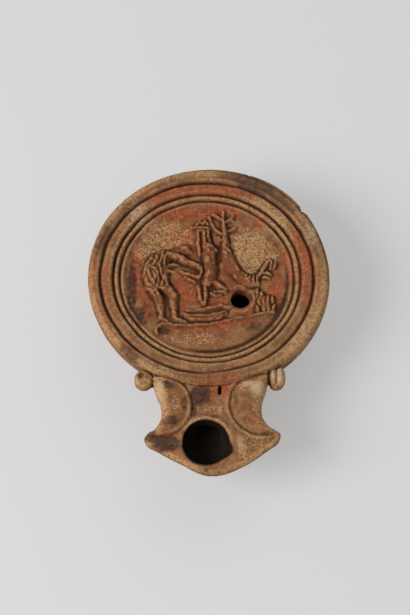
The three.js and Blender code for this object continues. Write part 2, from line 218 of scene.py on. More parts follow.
def ridge_profile(x, y, points):
    """0 off the ridge, 1 along its crest."""
    best = np.zeros_like(x)
    for (ax, ay, aw), (bx, by, bw) in zip(points, points[1:]):
        run = np.array([bx - ax, by - ay])
        along = ((x - ax) * run[0] + (y - ay) * run[1]) / max(run @ run, 1e-9)
        along = np.clip(along, 0, 1)
        width = aw + (bw - aw) * along
        gone = (x - ax - along * run[0]) ** 2 + (y - ay - along * run[1]) ** 2
        best = np.maximum(best, np.clip(1 - gone / width ** 2, 0, 1))
    return best ** 0.65


class PlanMap:
    """A map of numbers over the plan, in even steps."""

    def __init__(self, low, high, step):
        self.low = np.array(low, float)
        self.step = step
        self.x = np.arange(low[0], high[0], step)
        self.y = np.arange(low[1], high[1], step)
        self.grid_x, self.grid_y = np.meshgrid(self.x, self.y, indexing="ij")
        self.values = np.zeros_like(self.grid_x)

    def ridge(self, height, points):
        """The part of the map that a ridge can reach, and the ridge's heights there."""
        xs, ys, half_widths = zip(*points)
        reach = max(half_widths) + self.step
        part = tuple(
            slice(*np.searchsorted(line, (min(along) - reach, max(along) + reach)))
            for line, along in ((self.x, xs), (self.y, ys))
        )
        return part, height * ridge_profile(self.grid_x[part], self.grid_y[part], points)

    def raise_ridge(self, height, points):
        part, ridge = self.ridge(height, points)
        self.values[part] = np.maximum(self.values[part], ridge)

    def add_ridge(self, height, points):
        part, ridge = self.ridge(height, points)
        self.values[part] += ridge

    def blurred(self, reach):
        """The values under a soft round brush of the given reach."""
        kx = np.fft.fftfreq(len(self.x), self.step)[:, None]
        ky = np.fft.rfftfreq(len(self.y), self.step)[None, :]
        spread = np.exp(-2 * (math.pi * reach) ** 2 * (kx ** 2 + ky ** 2))
        return np.fft.irfft2(np.fft.rfft2(self.values) * spread, s=self.values.shape)

    def read(self, values, x, y):
        """Values at points, between the map's cells."""
        at_x = np.clip((x - self.low[0]) / self.step, 0, len(self.x) - 1.001)
        at_y = np.clip((y - self.low[1]) / self.step, 0, len(self.y) - 1.001)
        i = at_x.astype(int)
        j = at_y.astype(int)
        u = at_x - i
        v = at_y - j
        near = values[i, j] * (1 - v) + values[i, j + 1] * v
        far = values[i + 1, j] * (1 - v) + values[i + 1, j + 1] * v
        return near * (1 - u) + far * u


# The picture. A herdsman bends to the right, to a carcass that hangs from a tree by its hind legs.

HERDSMAN = [
    (1.1, [(-17, -2.2, 2.4), (-17, 1.2, 3), (-16, 5, 3.3), (-13.2, 7.4, 2.8), (-10.6, 8.4, 1.8)]),
    (0.9, [(-13.5, 4.5, 1.8), (-13.2, 0, 1.5), (-13, -2.5, 1.4)]),
    (0.8, [(-10.2, 9.2, 1), (-8.4, 10, 0.9)]),
    (1, [(-6.9, 10.2, 1.6), (-6.2, 10.4, 1.7)]),
    (0.7, [(-5, 9.6, 0.7), (-4.5, 9.3, 0.5)]),
    (1.7, [(-11.4, 8.2, 1.6), (-8.6, 7.5, 1.4), (-5.6, 5.6, 1.1), (-2.6, 4.3, 0.85)]),
    (1.4, [(-2.6, 4.2, 0.8), (-1.6, 3.6, 0.75), (-1.5, 2.6, 0.5), (-2.2, 1, 0.5)]),
    (0.8, [(-13.4, 2.8, 0.5), (-11.6, 2.9, 0.5), (-9.4, 2.6, 0.45)]),
    (0.85, [(-11.6, 5, 0.6), (-10, 5.4, 0.5), (-8.8, 5.2, 0.4)]),
    (0.95, [(-8.2, 2.9, 0.5), (-7, 2.2, 0.7), (-5, 1.5, 0.75), (-2.6, 0.6, 0.6)]),
    (0.8, [(-6.8, 0.9, 0.4), (-5.2, -0.1, 0.5), (-3.8, -0.9, 0.4)]),
    (1.3, [(-14, -2, 1.9), (-11.8, -4, 1.7), (-10.3, -6.2, 1.4)]),
    (1.15, [(-10.3, -6.2, 1.4), (-10.6, -8.6, 1.25), (-10.5, -11, 0.95), (-10.2, -13.2, 0.85)]),
    (0.85, [(-10.2, -13.6, 0.75), (-8, -14.5, 0.5), (-6.8, -14.7, 0.35)]),
    (1.2, [(-16.6, -3.4, 1.9), (-15.2, -6.2, 1.6)]),
    (1.1, [(-15, -6.2, 1.4), (-14.8, -8.8, 1.25), (-14.6, -11, 0.95), (-14.5, -13.2, 0.9)]),
    (0.8, [(-14.5, -13.7, 0.75), (-12.6, -14.4, 0.5)]),
]
FLEECE = [
    [(-18.9, 4.9, 0.4), (-18, 6, 0.55), (-16.8, 6.7, 0.4)],
    [(-19.1, 1.6, 0.4), (-18.9, 3.6, 0.55), (-17.2, 4.8, 0.45)],
    [(-16.5, 4.8, 0.45), (-15.5, 7.1, 0.6), (-15.2, 8.6, 0.4)],
    [(-14.8, 4.4, 0.4), (-14.1, 7, 0.6), (-13.3, 9.5, 0.4)],
    [(-13.2, 4.8, 0.4), (-12.9, 7.3, 0.6), (-12, 9.6, 0.4)],
    [(-17.6, 7.2, 0.35), (-16.6, 8.2, 0.45)],
    [(-17.6, 4.4, 0.4), (-16.1, 3.4, 0.55), (-14.7, 1.4, 0.4)],
    [(-19.1, 0.2, 0.4), (-18.6, -1.6, 0.55), (-17.4, -2.5, 0.4)],
    [(-18.1, 3, 0.4), (-17.8, 1, 0.55), (-16.8, -1, 0.4)],
    [(-16.6, 2.4, 0.4), (-16, 1.2, 0.55), (-16.4, -2, 0.4)],
    [(-15.3, 1, 0.4), (-15, -0.8, 0.55), (-15.5, -2.7, 0.4)],
    [(-14.6, 4.2, 0.4), (-14.2, 2.6, 0.5)],
    [(-14, 2.2, 0.4), (-13.4, 0, 0.55), (-13.9, -2.4, 0.4)],
    [(-12.8, 1.4, 0.4), (-12.5, -0.8, 0.5), (-12.2, -2.4, 0.4)],
    [(-18.3, -3.4, 0.4), (-16.6, -4.6, 0.55), (-15, -3.2, 0.45), (-13, -3.7, 0.4)],
    [(-17.2, -4.8, 0.35), (-16.2, -5.8, 0.4)],
    [(-15.8, -3.8, 0.35), (-14.9, -5.8, 0.4)],
]
CARCASS_BODY = [(0.4, 11.6, 1.5), (1, 9, 2.3), (1, 6, 2.2), (1.1, 2.8, 1.9), (0.7, 0.2, 2), (-0.2, -1.6, 1.6)]
CARCASS = [
    (0.9, [(-4, 18.1, 0.55), (0.9, 17.6, 0.6)]),
    (0.8, [(-2.4, 17, 0.5), (0.4, 16.6, 0.45)]),
    (0.9, [(-2.5, 19, 0.5), (-1.9, 20, 0.6), (-1.1, 19.2, 0.45)]),
    (0.9, [(-0.8, 19.2, 0.45), (-0.1, 20.2, 0.6), (0.8, 19.2, 0.45)]),
    (0.9, [(-2.3, 16.4, 0.5), (-2.3, 12.5, 0.6), (-1.8, 8.8, 0.5)]),
    (1.1, [(-0.5, 16.4, 0.6), (-0.4, 14, 0.7), (-0.2, 11, 1)]),
    (1.1, [(0.8, 16.6, 0.5), (0.7, 14.8, 0.5), (1.6, 11.7, 0.7), (3.2, 9.8, 0.6)]),
    (1.35, CARCASS_BODY),
    (1, [(-2.7, -2.2, 0.6), (-2.5, -5.6, 0.65), (-1.7, -8.4, 0.55)]),
    (1.15, [(-0.6, -2, 0.9), (-0.6, -5.5, 0.75), (-1, -8.6, 0.55)]),
    (0.95, [(1.6, -0.6, 1.1), (3.6, -2.4, 0.9), (5.8, -3.6, 0.7)]),
    (0.9, [(0.8, -4.8, 0.4), (2.4, -5.6, 0.5), (4.2, -5.3, 0.4)]),
    (0.9, [(2, -4.3, 0.4), (3.6, -4.1, 0.5), (5.4, -4.5, 0.5), (6.2, -5.2, 0.4)]),
]
TREE = [
    (1.05, [(5.8, 23.2, 0.5), (5.7, 19.5, 0.6), (6.1, 16, 0.8), (6, 13.2, 1)]),
    (1.15, [(6, 13.2, 1.2), (6.2, 9.5, 1.6), (7, 6, 2)]),
    (1.2, [(7, 6, 2.1), (8.4, 2.6, 2.3), (10.6, -0.2, 1.8), (13, -1.2, 1.3)]),
    (0.75, [(5.4, 5, 1.2), (5.8, 1, 1.8), (7.6, -2, 1.8), (10.5, -3, 1.4)]),
    (0.9, [(5.6, 19.9, 0.45), (4.2, 21.3, 0.5), (2.4, 22.4, 0.4)]),
    (0.9, [(6, 19.2, 0.5), (7.6, 20.3, 0.55), (9.2, 21.9, 0.4)]),
    (0.8, [(7.6, 20.3, 0.4), (9, 19.9, 0.35)]),
    (0.9, [(6.5, 16.2, 0.5), (8, 16.9, 0.55), (9.8, 17.8, 0.4)]),
    (0.8, [(5.8, 20.6, 0.4), (5, 22.4, 0.35)]),
    (0.9, [(1.4, 21.6, 0.4), (2.4, 18.4, 0.5), (3.6, 16.6, 0.55), (5.4, 15.4, 0.5)]),
    (0.9, [(4.2, 14.6, 0.4), (4.6, 13.4, 0.45), (5.6, 13, 0.5)]),
]
BARK = [
    (5.7, 13.8), (5.5, 11.2), (5.8, 8.8), (7.1, 9.6), (8.3, 5.5),
    (9.7, 3.1), (8.7, 0.5), (11.8, 1.2), (12.3, -1),
]
SHRUB = [
    (1.05, [(15.8, 0.4, 0.6), (17.6, 3, 0.7), (18.6, 4.6, 0.6), (19.5, 6, 0.4)]),
    (0.95, [(19.8, 3.2, 0.35), (20.1, 4.6, 0.55), (20, 5.8, 0.35)]),
    (0.95, [(20.7, 3, 0.35), (21.2, 4.2, 0.55), (21.5, 5.4, 0.35)]),
    (0.95, [(17.6, 1.7, 0.4), (18.8, 1.7, 0.6), (19.9, 0.8, 0.4)]),
    (0.85, [(17.6, 0.4, 0.4), (19.4, -0.2, 0.45)]),
    (0.9, [(11.5, -1.6, 1.1), (15.2, -2.4, 1.1)]),
    (0.55, [(14.6, -5.2, 1.2), (17.4, -8, 2.2), (18, -11, 1.9)]),
]
STALKS = [12.1, 13.2, 14.3, 15.4]
LEAVES = [
    [(15.2, -6.6), (15.7, -4)], [(16.4, -6.8), (17, -4.6)], [(14.4, -7.2), (13.9, -5)],
    [(17.3, -9.2), (17.2, -6.6)], [(18.5, -9.2), (18.9, -6.6)], [(19.8, -8.8), (20.3, -6.4)],
    [(16, -9.4), (15.4, -7.6)], [(17.2, -12), (16.9, -9.8)], [(18.5, -12), (18.7, -9.8)],
    [(19.9, -11.4), (20.5, -9.4)], [(15.4, -11.8), (15.1, -9.6)],
]
BASIN_RIM = [(-7.8, -11.8, 0.35), (-6.1, -12.6, 0.45), (-1.1, -12.6, 0.4), (3.3, -12, 0.4), (5.6, -11.1, 0.4)]
BASIN_FRONT = [
    (-7.2, -12.5, 0.35), (-4.8, -13.9, 0.45), (-0.5, -14.2, 0.45), (3.3, -13.6, 0.45), (5.9, -11.9, 0.4),
]
GROUND = [
    (0.75, [(-15.9, -18.4, 0.5), (-15.8, -16.4, 0.6), (-14.2, -15.2, 0.5)]),
    (0.7, [(-14.2, -15.3, 0.45), (-8, -15.6, 0.45), (-1, -15.7, 0.5), (4, -14.9, 0.5), (9, -13.4, 0.5)]),
    (0.7, [(9, -13.4, 0.5), (15, -12.6, 0.45), (20, -12, 0.4)]),
    (0.6, [(-6.5, -13, 0.7), (-2.5, -13.4, 0.9), (1.5, -13.2, 0.9), (4.4, -12.2, 0.6)]),
    (1.05, BASIN_RIM),
    (1, BASIN_FRONT),
    (0.7, [(-6.5, -10.8, 0.4), (-1, -10.2, 0.5), (2, -9.6, 0.5)]),
    (0.8, [(2.4, -9.4, 0.5), (4.4, -9, 0.7), (6, -10, 0.6), (7.4, -9.6, 0.5)]),
]

# Heights of the smaller strokes, and the hollows between the carcass and the tree, which are given by
# (x, y, half width, half length, depth)
STROKE_HEIGHTS = Sizes(stalk=1.25, leaf=1.05, fleece=0.85, bark=0.5, lock=0.35, coat=0.3)
HOLLOWS = [(1.5, 14.4, 0.8, 1.9, 0.35), (3.1, 11.1, 1.3, 0.9, 0.35)]
RELIEF_GAIN = 1.12
RELIEF_BLUR = 0.13


def small_strokes(plan):
    """Stalks, leaves, fleece and bark."""
    for x in STALKS:
        plan.raise_ridge(STROKE_HEIGHTS.stalk, [(x - 0.1, -2, 0.35), (x, -0.6, 0.5), (x + 0.15, 0.7, 0.3)])
    for (base_x, base_y), (tip_x, tip_y) in LEAVES:
        middle = ((base_x + tip_x) / 2, (base_y + tip_y) / 2, 0.62)
        plan.raise_ridge(STROKE_HEIGHTS.leaf, [(base_x, base_y, 0.3), middle, (tip_x, tip_y, 0.25)])
    for points in FLEECE:
        plan.add_ridge(STROKE_HEIGHTS.fleece, points)
    for x, y in BARK:
        flake = [(x - 0.5, y + 0.7, 0.35), (x, y, 0.6), (x + 0.4, y - 0.7, 0.35)]
        plan.add_ridge(STROKE_HEIGHTS.bark, flake)


def picture():
    """The relief's height above the disc's floor."""
    reach = DISC_RADIUS + 1.5
    plan = PlanMap((-reach, -reach), (reach, reach), RELIEF_STEP)
    for height, points in HERDSMAN + CARCASS + TREE + SHRUB + GROUND:
        plan.raise_ridge(height, points)
    small_strokes(plan)
    # The carcass has a coat of short tufts
    places = plan_points(plan.grid_x.ravel(), plan.grid_y.ravel())
    coat = ridge_profile(plan.grid_x, plan.grid_y, CARCASS_BODY)
    plan.values += STROKE_HEIGHTS.coat * coat * noise(places, 0.75, 96).reshape(coat.shape)
    # Hair, in short locks over the back of the head
    for lock in range(4):
        strand = [(-8 + 0.7 * lock, 11.6, 0.3), (-7.8 + 0.55 * lock, 10.2, 0.3)]
        plan.add_ridge(STROKE_HEIGHTS.lock, strand)
    # The mould was worn, so that no edge is quite straight
    aside = lumps(places, MOULD_WEAR_X)
    along = lumps(places, MOULD_WEAR_Y)
    moved = plan.read(plan.values, places[:, 0] + aside, places[:, 1] + along)
    moved *= 1 + 0.22 * noise(places, 1.4, 95)
    plan.values = moved.reshape(plan.values.shape)
    plan.values = RELIEF_GAIN * plan.blurred(RELIEF_BLUR)
    # The filling hole's dish, with a low wall of clay at its lower right
    x = plan.grid_x - FILLING_HOLE.x
    y = plan.grid_y - FILLING_HOLE.y
    away = np.hypot(x, y)
    dish = smooth(FILLING_HOLE.dish, FILLING_HOLE.radius - 0.4, away)
    plan.values = plan.values * (1 - dish) - FILLING_HOLE.dish_depth * dish
    plan.values += round_ridge(away, DISH_WALL) * bump((np.degrees(np.arctan2(y, x)) + 50) / 60)
    for x, y, width, length, depth in HOLLOWS:
        plan.values -= depth * bump((plan.grid_x - x) / width) * bump((plan.grid_y - y) / length)
    return plan


RELIEF = picture()


def top_of_disc(x, y):
    """Height of the disc with its relief, its wavering rings and its uneven clay."""
    radius = np.hypot(x, y)
    raised = RELIEF.read(RELIEF.values, x, y) * smooth(26, DISC_RADIUS, radius)
    places = plan_points(x, y)
    uneven = lumps(places, DISC_LUMPS) - 0.07
    wobble = lumps(places, RING_WAVER) * smooth(24.5, 26, radius)
    turn = np.arctan2(y, x)
    degrees = np.degrees(turn)
    wobble = wobble + 0.65 * bump((degrees + 77) / 16) * smooth(31, 32, radius)
    # Earth fills the grooves unevenly, most of all below the disc
    around = np.stack([6 * np.cos(turn), 6 * np.sin(turn), radius / 2], axis=1)
    earth = 0.3 * bump((degrees + 88) / 22) * smooth(30.5, 32, radius)
    depth_share = np.clip(0.8 + 0.4 * noise(around, 1.6, 15) - earth, 0.35, 1.05)
    return disc_height(radius + wobble, depth_share) + raised + uneven


# The nozzle's plan and top

def bezier(points, steps):
    """Points along the curve that a few guide points draw."""
    share = np.linspace(0, 1, steps)[:, None]
    points = [np.array(point, float) for point in points]
    while len(points) > 1:
        points = [a * (1 - share) + b * share for a, b in zip(points, points[1:])]
    return points[0]


def nozzle_edge():
    """Points (half width, y) from the root to the tip."""
    front = CORNER.x - 1, CORNER.y - 2.2
    slope = (front[1] - NOZZLE.tip) / front[0]
    blunt = 6, NOZZLE.tip + 6 * slope
    to_waist = [
        (WAIST.x + WAIST.root_flare, NOZZLE.root),
        (WAIST.x + WAIST.root_flare + 0.8, WAIST.y + 4),
        (WAIST.x - 0.5, WAIST.y + 6.3),
        (WAIST.x + 0.1, WAIST.y - 1),
    ]
    flare = CORNER.x - 1, CORNER.y + 1.6
    tip = bezier([blunt, (0, NOZZLE.tip), (-blunt[0], blunt[1])], 41)[:21]
    runs = [
        bezier(to_waist, 40),
        bezier([to_waist[-1], (WAIST.x + 1, WAIST.y - 4), flare], 20),
        bezier([flare, (CORNER.x + 0.9, CORNER.y + 0.3), front], 20),
        bezier([front, blunt], 20),
        tip,
    ]
    return np.concatenate([run[1:] if i else run for i, run in enumerate(runs)])


EDGE = nozzle_edge()


def edge_distance(x, y):
    """How far points of the nozzle are from its edge."""
    line = EDGE[EDGE[:, 1] < NOZZLE.root + 1e-6]
    fine = np.concatenate([np.linspace(a, b, 5)[:-1] for a, b in zip(line, line[1:])])
    best = np.full(len(x), 1e9)
    for half, edge_y in fine:
        best = np.minimum(best, (np.abs(x) - half) ** 2 + (y - edge_y) ** 2)
    return np.sqrt(best)


def volute(x, y, side):
    """Share of the way from the volute's rim (0) to its middle (1), and the distance to its middle."""
    away = np.hypot(x - side * VOLUTE.x, y - VOLUTE.y)
    return np.clip(1 - (away / VOLUTE.radius) ** 2, 0, 1), away


def front_swell(x, y):
    """How far the nozzle's front stands out to the right of its tip."""
    across = bump((x - FRONT_SWELL.x) / FRONT_SWELL.spread)
    return FRONT_SWELL.out * across * smooth(FRONT_SWELL.start, FRONT_SWELL.end, y)


def top_of_nozzle(x, y):
    """Height of the nozzle's top, with its volutes, the lip of its wick hole and its rounded edge."""
    height = plate_height(y)
    round_off = np.full(len(x), NOZZLE.edge_round)
    for side in (-1, 1):
        inside, away = volute(x, y, side)
        from_rim = away - VOLUTE.radius
        height = height + VOLUTE.rise * inside ** VOLUTE.dome
        height = height + round_ridge(from_rim, VOLUTE_LINE) + round_ridge(side * from_rim, VOLUTE_ROLL)
        round_off = round_off + VOLUTE.edge_round * smooth(0.05, 0.5, inside)
    away = np.hypot(x - WICK_HOLE.x, y - WICK_HOLE.y)
    far = smooth(-4, 5, y - WICK_HOLE.y)
    height = height + (0.15 + 0.35 * far) * round_ridge(away, WICK_LIP)
    height = height + (1 - far) * round_ridge(away, WICK_WEAR)
    height = height + round_ridge(np.hypot(x, y), JUNCTION) * smooth(19, 17, np.abs(x))
    height = height + lumps(plan_points(x, y), NOZZLE_LUMPS) - 0.05
    near = np.minimum(edge_distance(x, y), round_off)
    return height - round_off + np.sqrt(round_off ** 2 - (round_off - near) ** 2)


# Meshes

def mesh_object(name, points, faces):
    mesh = bpy.data.meshes.new(name)
    mesh.from_pydata((np.asarray(points) * MM).tolist(), [], [list(map(int, face)) for face in faces])
    mesh.update()
    made = bpy.data.objects.new(name, mesh)
    bpy.context.scene.collection.objects.link(made)
    return made


def grid_faces(rows, columns):
    """Quads of a grid of points that are numbered row by row."""
    numbers = np.arange(rows * columns).reshape(rows, columns)
    corners = (numbers[:-1, :-1], numbers[1:, :-1], numbers[1:, 1:], numbers[:-1, 1:])
    return np.stack([corner.ravel() for corner in corners], axis=1).tolist()


def strip(first, second):
    """Quads between two closed loops of vertex numbers."""
    return list(zip(first, np.roll(first, -1), np.roll(second, -1), second))


def fan(loop, middle):
    """Triangles from a closed loop of vertex numbers to one vertex."""
    return [(a, middle, b) for a, b in zip(loop, np.roll(loop, -1))]


def turned(name, profile, segments, centre=(0, 0)):
    """A solid of revolution from (radius, height) pairs that start and end on the axis."""
    angle = np.arange(segments) * 2 * math.pi / segments
    points = [(*centre, profile[0][1])]
    for radius, height in profile[1:-1]:
        ring = [centre[0] + radius * np.cos(angle), centre[1] + radius * np.sin(angle)]
        points.extend(np.stack([*ring, np.full(segments, height)], axis=1))
    points.append((*centre, profile[-1][1]))
    loop = 1 + np.arange(segments)
    faces = fan(loop, 0)
    for _ in profile[2:-1]:
        faces.extend(strip(loop, loop + segments))
        loop = loop + segments
    faces.extend(fan(loop[::-1], len(points) - 1))
    return mesh_object(name, points, faces)


def ball(name, centre, radii):
    angles = [math.pi * i / 16 for i in range(1, 16)]
    profile = [(0, -1)] + [(math.sin(angle), -math.cos(angle)) for angle in angles] + [(0, 1)]
    made = turned(name, profile, 40)
    for vertex in made.data.vertices:
        place = vertex.co / MM
        vertex.co = Vector([centre[k] + radii[k] * place[k] for k in range(3)]) * MM
    return made


def squarish(step, sides, power):
    """One of the points round a square of half width 1 with rounded corners."""
    angle = 2 * math.pi * step / sides
    return [math.copysign(abs(way) ** power, way) for way in (math.cos(angle), math.sin(angle))]


def prism(name, points):
    """A closed solid between two loops of points, given one after the other."""
    first = np.arange(len(points) // 2)
    second = first + len(first)
    return mesh_object(name, points, strip(first, second) + [first[::-1], second])


def cut_or_join(target, tool, operation):
    """Cut a tool out of an object or join it on, and remove the tool."""
    step = target.modifiers.new(operation.lower(), "BOOLEAN")
    step.operation = operation
    step.solver = "MANIFOLD"
    step.object = tool
    bpy.context.view_layer.objects.active = target
    with bpy.context.temp_override(object=target, active_object=target, selected_objects=[target]):
        bpy.ops.object.modifier_apply(modifier=step.name)
    bpy.data.objects.remove(tool)


def disc_grid():
    """A square grid of points drawn out to a round disc, with even cells and an even edge."""
    line = np.linspace(-1, 1, DISC_CELLS + 1)
    a, b = np.meshgrid(line, line, indexing="ij")
    wide = np.abs(a) > np.abs(b)
    safe_a = np.where(a == 0, 1, a)
    safe_b = np.where(b == 0, 1, b)
    radius = np.where(wide, a, b)
    angle = np.where(wide, math.pi / 4 * b / safe_a, math.pi / 2 - math.pi / 4 * a / safe_b)
    angle = np.where((a == 0) & (b == 0), 0, angle)
    return radius * np.cos(angle), radius * np.sin(angle)


def grid_rim(cells):
    """Numbers of the grid's edge points, in order round the disc from -45 degrees."""
    side = np.arange(cells)
    size = cells + 1
    right = cells * size + side
    top = (cells - side) * size + cells
    left = cells - side
    bottom = side * size
    return np.concatenate([right, top, left, bottom])


def bowl_radius(height):
    """Outer radius of the bowl at a height between the foot and its widest line."""
    below = (WIDEST_HEIGHT - height) / (WIDEST_HEIGHT - BASE_EDGE)
    return BODY_RADIUS - (BODY_RADIUS - BASE_RADIUS) * below ** BOWL_CURVE


def body_rings():
    """(radius, height, in the bowl) of each ring outside the disc's grid, from the lip out, down and in."""
    rings = [(radius, float(disc_height(radius)), False) for radius in TOP_RINGS]
    crest = float(disc_height(RIM_CREST_RADIUS))
    for step in range(SHOULDER_STEPS + 1):
        angle = math.pi / 2 * (1 - step / SHOULDER_STEPS)
        out = abs(math.cos(angle)) ** (2 / SHOULDER_CURVE)
        up = abs(math.sin(angle)) ** (2 / SHOULDER_CURVE)
        radius = RIM_CREST_RADIUS + (BODY_RADIUS - RIM_CREST_RADIUS) * out
        rings.append((radius, WIDEST_HEIGHT + (crest - WIDEST_HEIGHT) * up, False))
    for height in np.linspace(WIDEST_HEIGHT, BASE_EDGE, BOWL_STEPS + 1)[1:]:
        rings.append((bowl_radius(height), height, True))
    return rings + [(radius, height, True) for radius, height in FOOT_EDGE + FOOT_GROOVE]


# Chips and flakes: (x, y, z, reach, depth)
CHIPS = [
    (30.6, 22.4, 25.6, 1.7, 0.8), (33.6, -18.4, 25.4, 1.1, 0.4), (-27.8, -22.8, 25.8, 1.2, 0.35),
    (-25.6, -24.6, 25.8, 1.3, 0.4), (-24.4, -25.9, 25.5, 1.0, 0.35), (-33.5, 15.5, 26.2, 1.2, 0.3),
    (14.5, 34.6, 26.0, 1.3, 0.35), (36.6, 6.0, 25.6, 1.1, 0.35), (19.6, -54.6, 24.6, 1.3, 0.4),
    (-19.8, -52.4, 24.6, 1.0, 0.3),
]


def chipped(points):
    """Points pressed in towards the lamp's middle at each chip."""
    points = points.copy()
    for x, y, z, reach, depth in CHIPS:
        away = points - (x, y, z)
        reach_here = reach * (1 + 0.5 * noise(points, 0.9, 31))
        share = np.clip(1 - (away ** 2).sum(1) / reach_here ** 2, 0, 1)
        inward = np.array([0, 0 if y > -40 else -50, 20]) - (x, y, z)
        points += (depth * smooth(0, 0.5, share))[:, None] * inward / np.linalg.norm(inward)
    return points


def band(inner, outer):
    """Faces between two closed loops of vertex numbers. The outer may have a part of the inner's count."""
    ratio = len(inner) // len(outer)
    faces = []
    for i in range(len(outer)):
        j = (i + 1) % len(outer)
        run = [inner[(i * ratio + k) % len(inner)] for k in range(ratio, -1, -1)]
        faces.append((*run, outer[i], outer[j]))
    return faces


def body_ring(radius, height, in_bowl, count):
    """One ring of the body, with the rim's offset and swells, and the unevenness of the clay."""
    angle = -math.pi / 4 + np.arange(count) * 2 * math.pi / count
    outward = np.stack([np.cos(angle), np.sin(angle)], axis=1)
    turn = (np.degrees(angle) + 180) % 360 - 180
    swell = sum(each.out * bump((turn - each.degrees) / each.spread) for each in RIM_SWELLS)
    low = BASE_RADIUS if in_bowl else RIM_CREST_RADIUS - 1
    share = float(smooth(low, BODY_RADIUS, radius))
    flat = radius * outward + share * (RIM_OFFSET + swell[:, None] * outward)
    ring = np.stack([*flat.T, np.full(count, height)], axis=1)
    if not in_bowl and radius <= RIM_CREST_RADIUS:
        ring[:, 2] = top_of_disc(*(radius * outward).T)
    elif height > 0.8:
        uneven = lumps(ring, BODY_LUMPS) - 0.09
        ring[:, :2] += outward * uneven[:, None]
        ring[:, 2] += 0.08 * noise(ring, 7, 43) - 0.04
    return ring


def body():
    """The bowl, the rim and the disc: a fine grid under the relief, and rings around it down to the foot."""
    x, y = (way.ravel() * GRID_RADIUS for way in disc_grid())
    points = [np.stack([x, y, top_of_disc(x, y)], axis=1)]
    faces = grid_faces(DISC_CELLS + 1, DISC_CELLS + 1)
    inner = grid_rim(DISC_CELLS)
    made = len(x)
    for radius, height, in_bowl in body_rings():
        count = DISC_CELLS if in_bowl else 2 * DISC_CELLS
        outer = made + np.arange(count)
        faces.extend(band(inner, outer))
        points.append(body_ring(radius, height, in_bowl, count))
        inner = outer
        made += count
    points.append(np.zeros((1, 3)))
    faces.extend(fan(inner, made))
    return mesh_object("lamp_fine", chipped(np.concatenate(points)), faces)


def keel_share(height):
    """How much is left at a height of the nozzle's boat-shaped underside."""
    depth = np.clip((NOZZLE.top - height) / (NOZZLE.top - NOZZLE.bottom), 0, 1)
    return 1 - depth ** 2


def keel(points, levels):
    """Loops of points drawn down from the nozzle's edge into its underside."""
    loops = []
    side, front = KEEL.side_curve, KEEL.front_curve
    start = keel_share(points[:, 2])
    for share in levels:
        height = points[:, 2] + (NOZZLE.bottom - points[:, 2]) * share
        left = keel_share(height)
        x = points[:, 0] * np.maximum(KEEL.least_side, left ** side) / start ** side
        out = points[:, 1] - NOZZLE.root
        out = out * np.maximum(KEEL.least_front, left ** front) / start ** front
        loop = np.stack([x, NOZZLE.root + out, height], axis=1)
        outward = np.stack([x, out], axis=1)
        outward /= np.maximum(np.linalg.norm(outward, axis=1), 1e-6)[:, None]
        uneven = smooth(0, 0.1, share) * lumps(loop, KEEL_LUMPS)
        loop[:, :2] += outward * uneven[:, None]
        loops.append(loop)
    return loops


def nozzle():
    """The nozzle: a grid of rows over its top, closed below by its keel."""
    tip = EDGE[-1, 1]
    rows = np.concatenate([np.arange(NOZZLE.root, tip + 1.2, -NOZZLE_ROW), tip + TIP_ROWS])
    columns = np.sin(math.pi / 2 * np.linspace(-1, 1, NOZZLE_COLUMNS))
    half = np.interp(-rows, -EDGE[:, 1], EDGE[:, 0])
    x = (half[:, None] * columns[None, :]).ravel()
    y = np.repeat(rows, len(columns))
    points = [np.stack([x, y - front_swell(x, y), top_of_nozzle(x, y)], axis=1)]
    faces = grid_faces(len(rows), len(columns))
    numbers = np.arange(len(x)).reshape(len(rows), len(columns))
    loop = np.concatenate([numbers[:, 0], numbers[-1, 1:-1], numbers[::-1, -1], numbers[0, -2:0:-1]])
    loops = keel(points[0][loop], np.linspace(0, 1, KEEL_LOOPS + 1)[1:] ** 1.3)
    lower = len(x) + np.arange(len(loop))
    for _ in loops:
        faces.extend((a, d, c, b) for a, b, c, d in strip(loop, lower))
        loop = lower
        lower = lower + len(loop)
    points += loops
    points.append(loops[-1].mean(0, keepdims=True))
    faces.extend(fan(loop, lower[0]))
    return mesh_object("nozzle", chipped(np.concatenate(points)), faces)


def left_knob():
    """A round scroll knob with a dimple for its eye."""
    radius, bottom, top, edge = KNOB.radius, KNOB.bottom, KNOB.top, KNOB.edge
    profile = [(0, bottom)]
    for step in range(1, 8):
        angle = math.pi / 2 * step / 7
        profile.append((radius * math.sin(angle), bottom + radius * (1 - math.cos(angle))))
    profile.append((radius, top - edge - 0.6))
    for step in range(7):
        angle = math.pi / 2 * step / 6
        profile.append((radius - edge + edge * math.cos(angle), top - edge + edge * math.sin(angle)))
    made = turned("knob", profile + [(0, top + 0.05)], 40, (-KNOB.x, KNOB.y))
    eye = ball("eye", (KNOB_EYE.x, KNOB_EYE.y, top + 0.3), KNOB_EYE.radii)
    cut_or_join(made, eye, "DIFFERENCE")
    return made


def right_knob():
    """A knob like a folded leaf: two upright folds over a lobe."""
    lobes = [ball("lobe", (KNOB.x + x, KNOB.y + y, z), radii) for (x, y, z), radii in RIGHT_KNOB]
    for lobe in lobes[1:]:
        cut_or_join(lobes[0], lobe, "UNION")
    return lobes[0]


def knob_web(side):
    """The low web between a knob and the nozzle's edge."""
    place = (side * KNOB_WEB.x, KNOB.y + KNOB_WEB.behind, KNOB_WEB.z)
    return ball("web", place, KNOB_WEB.radii)


def knob_neck(side):
    """The clay that ties a knob to the shoulder."""
    out = math.hypot(KNOB.x, KNOB.y) - KNOB_NECK.inset
    made = ball("neck", (out, 0, KNOB_NECK.z), KNOB_NECK.radii)
    made.data.transform(Matrix.Rotation(math.atan2(KNOB.y, side * KNOB.x), 4, "Z"))
    return made


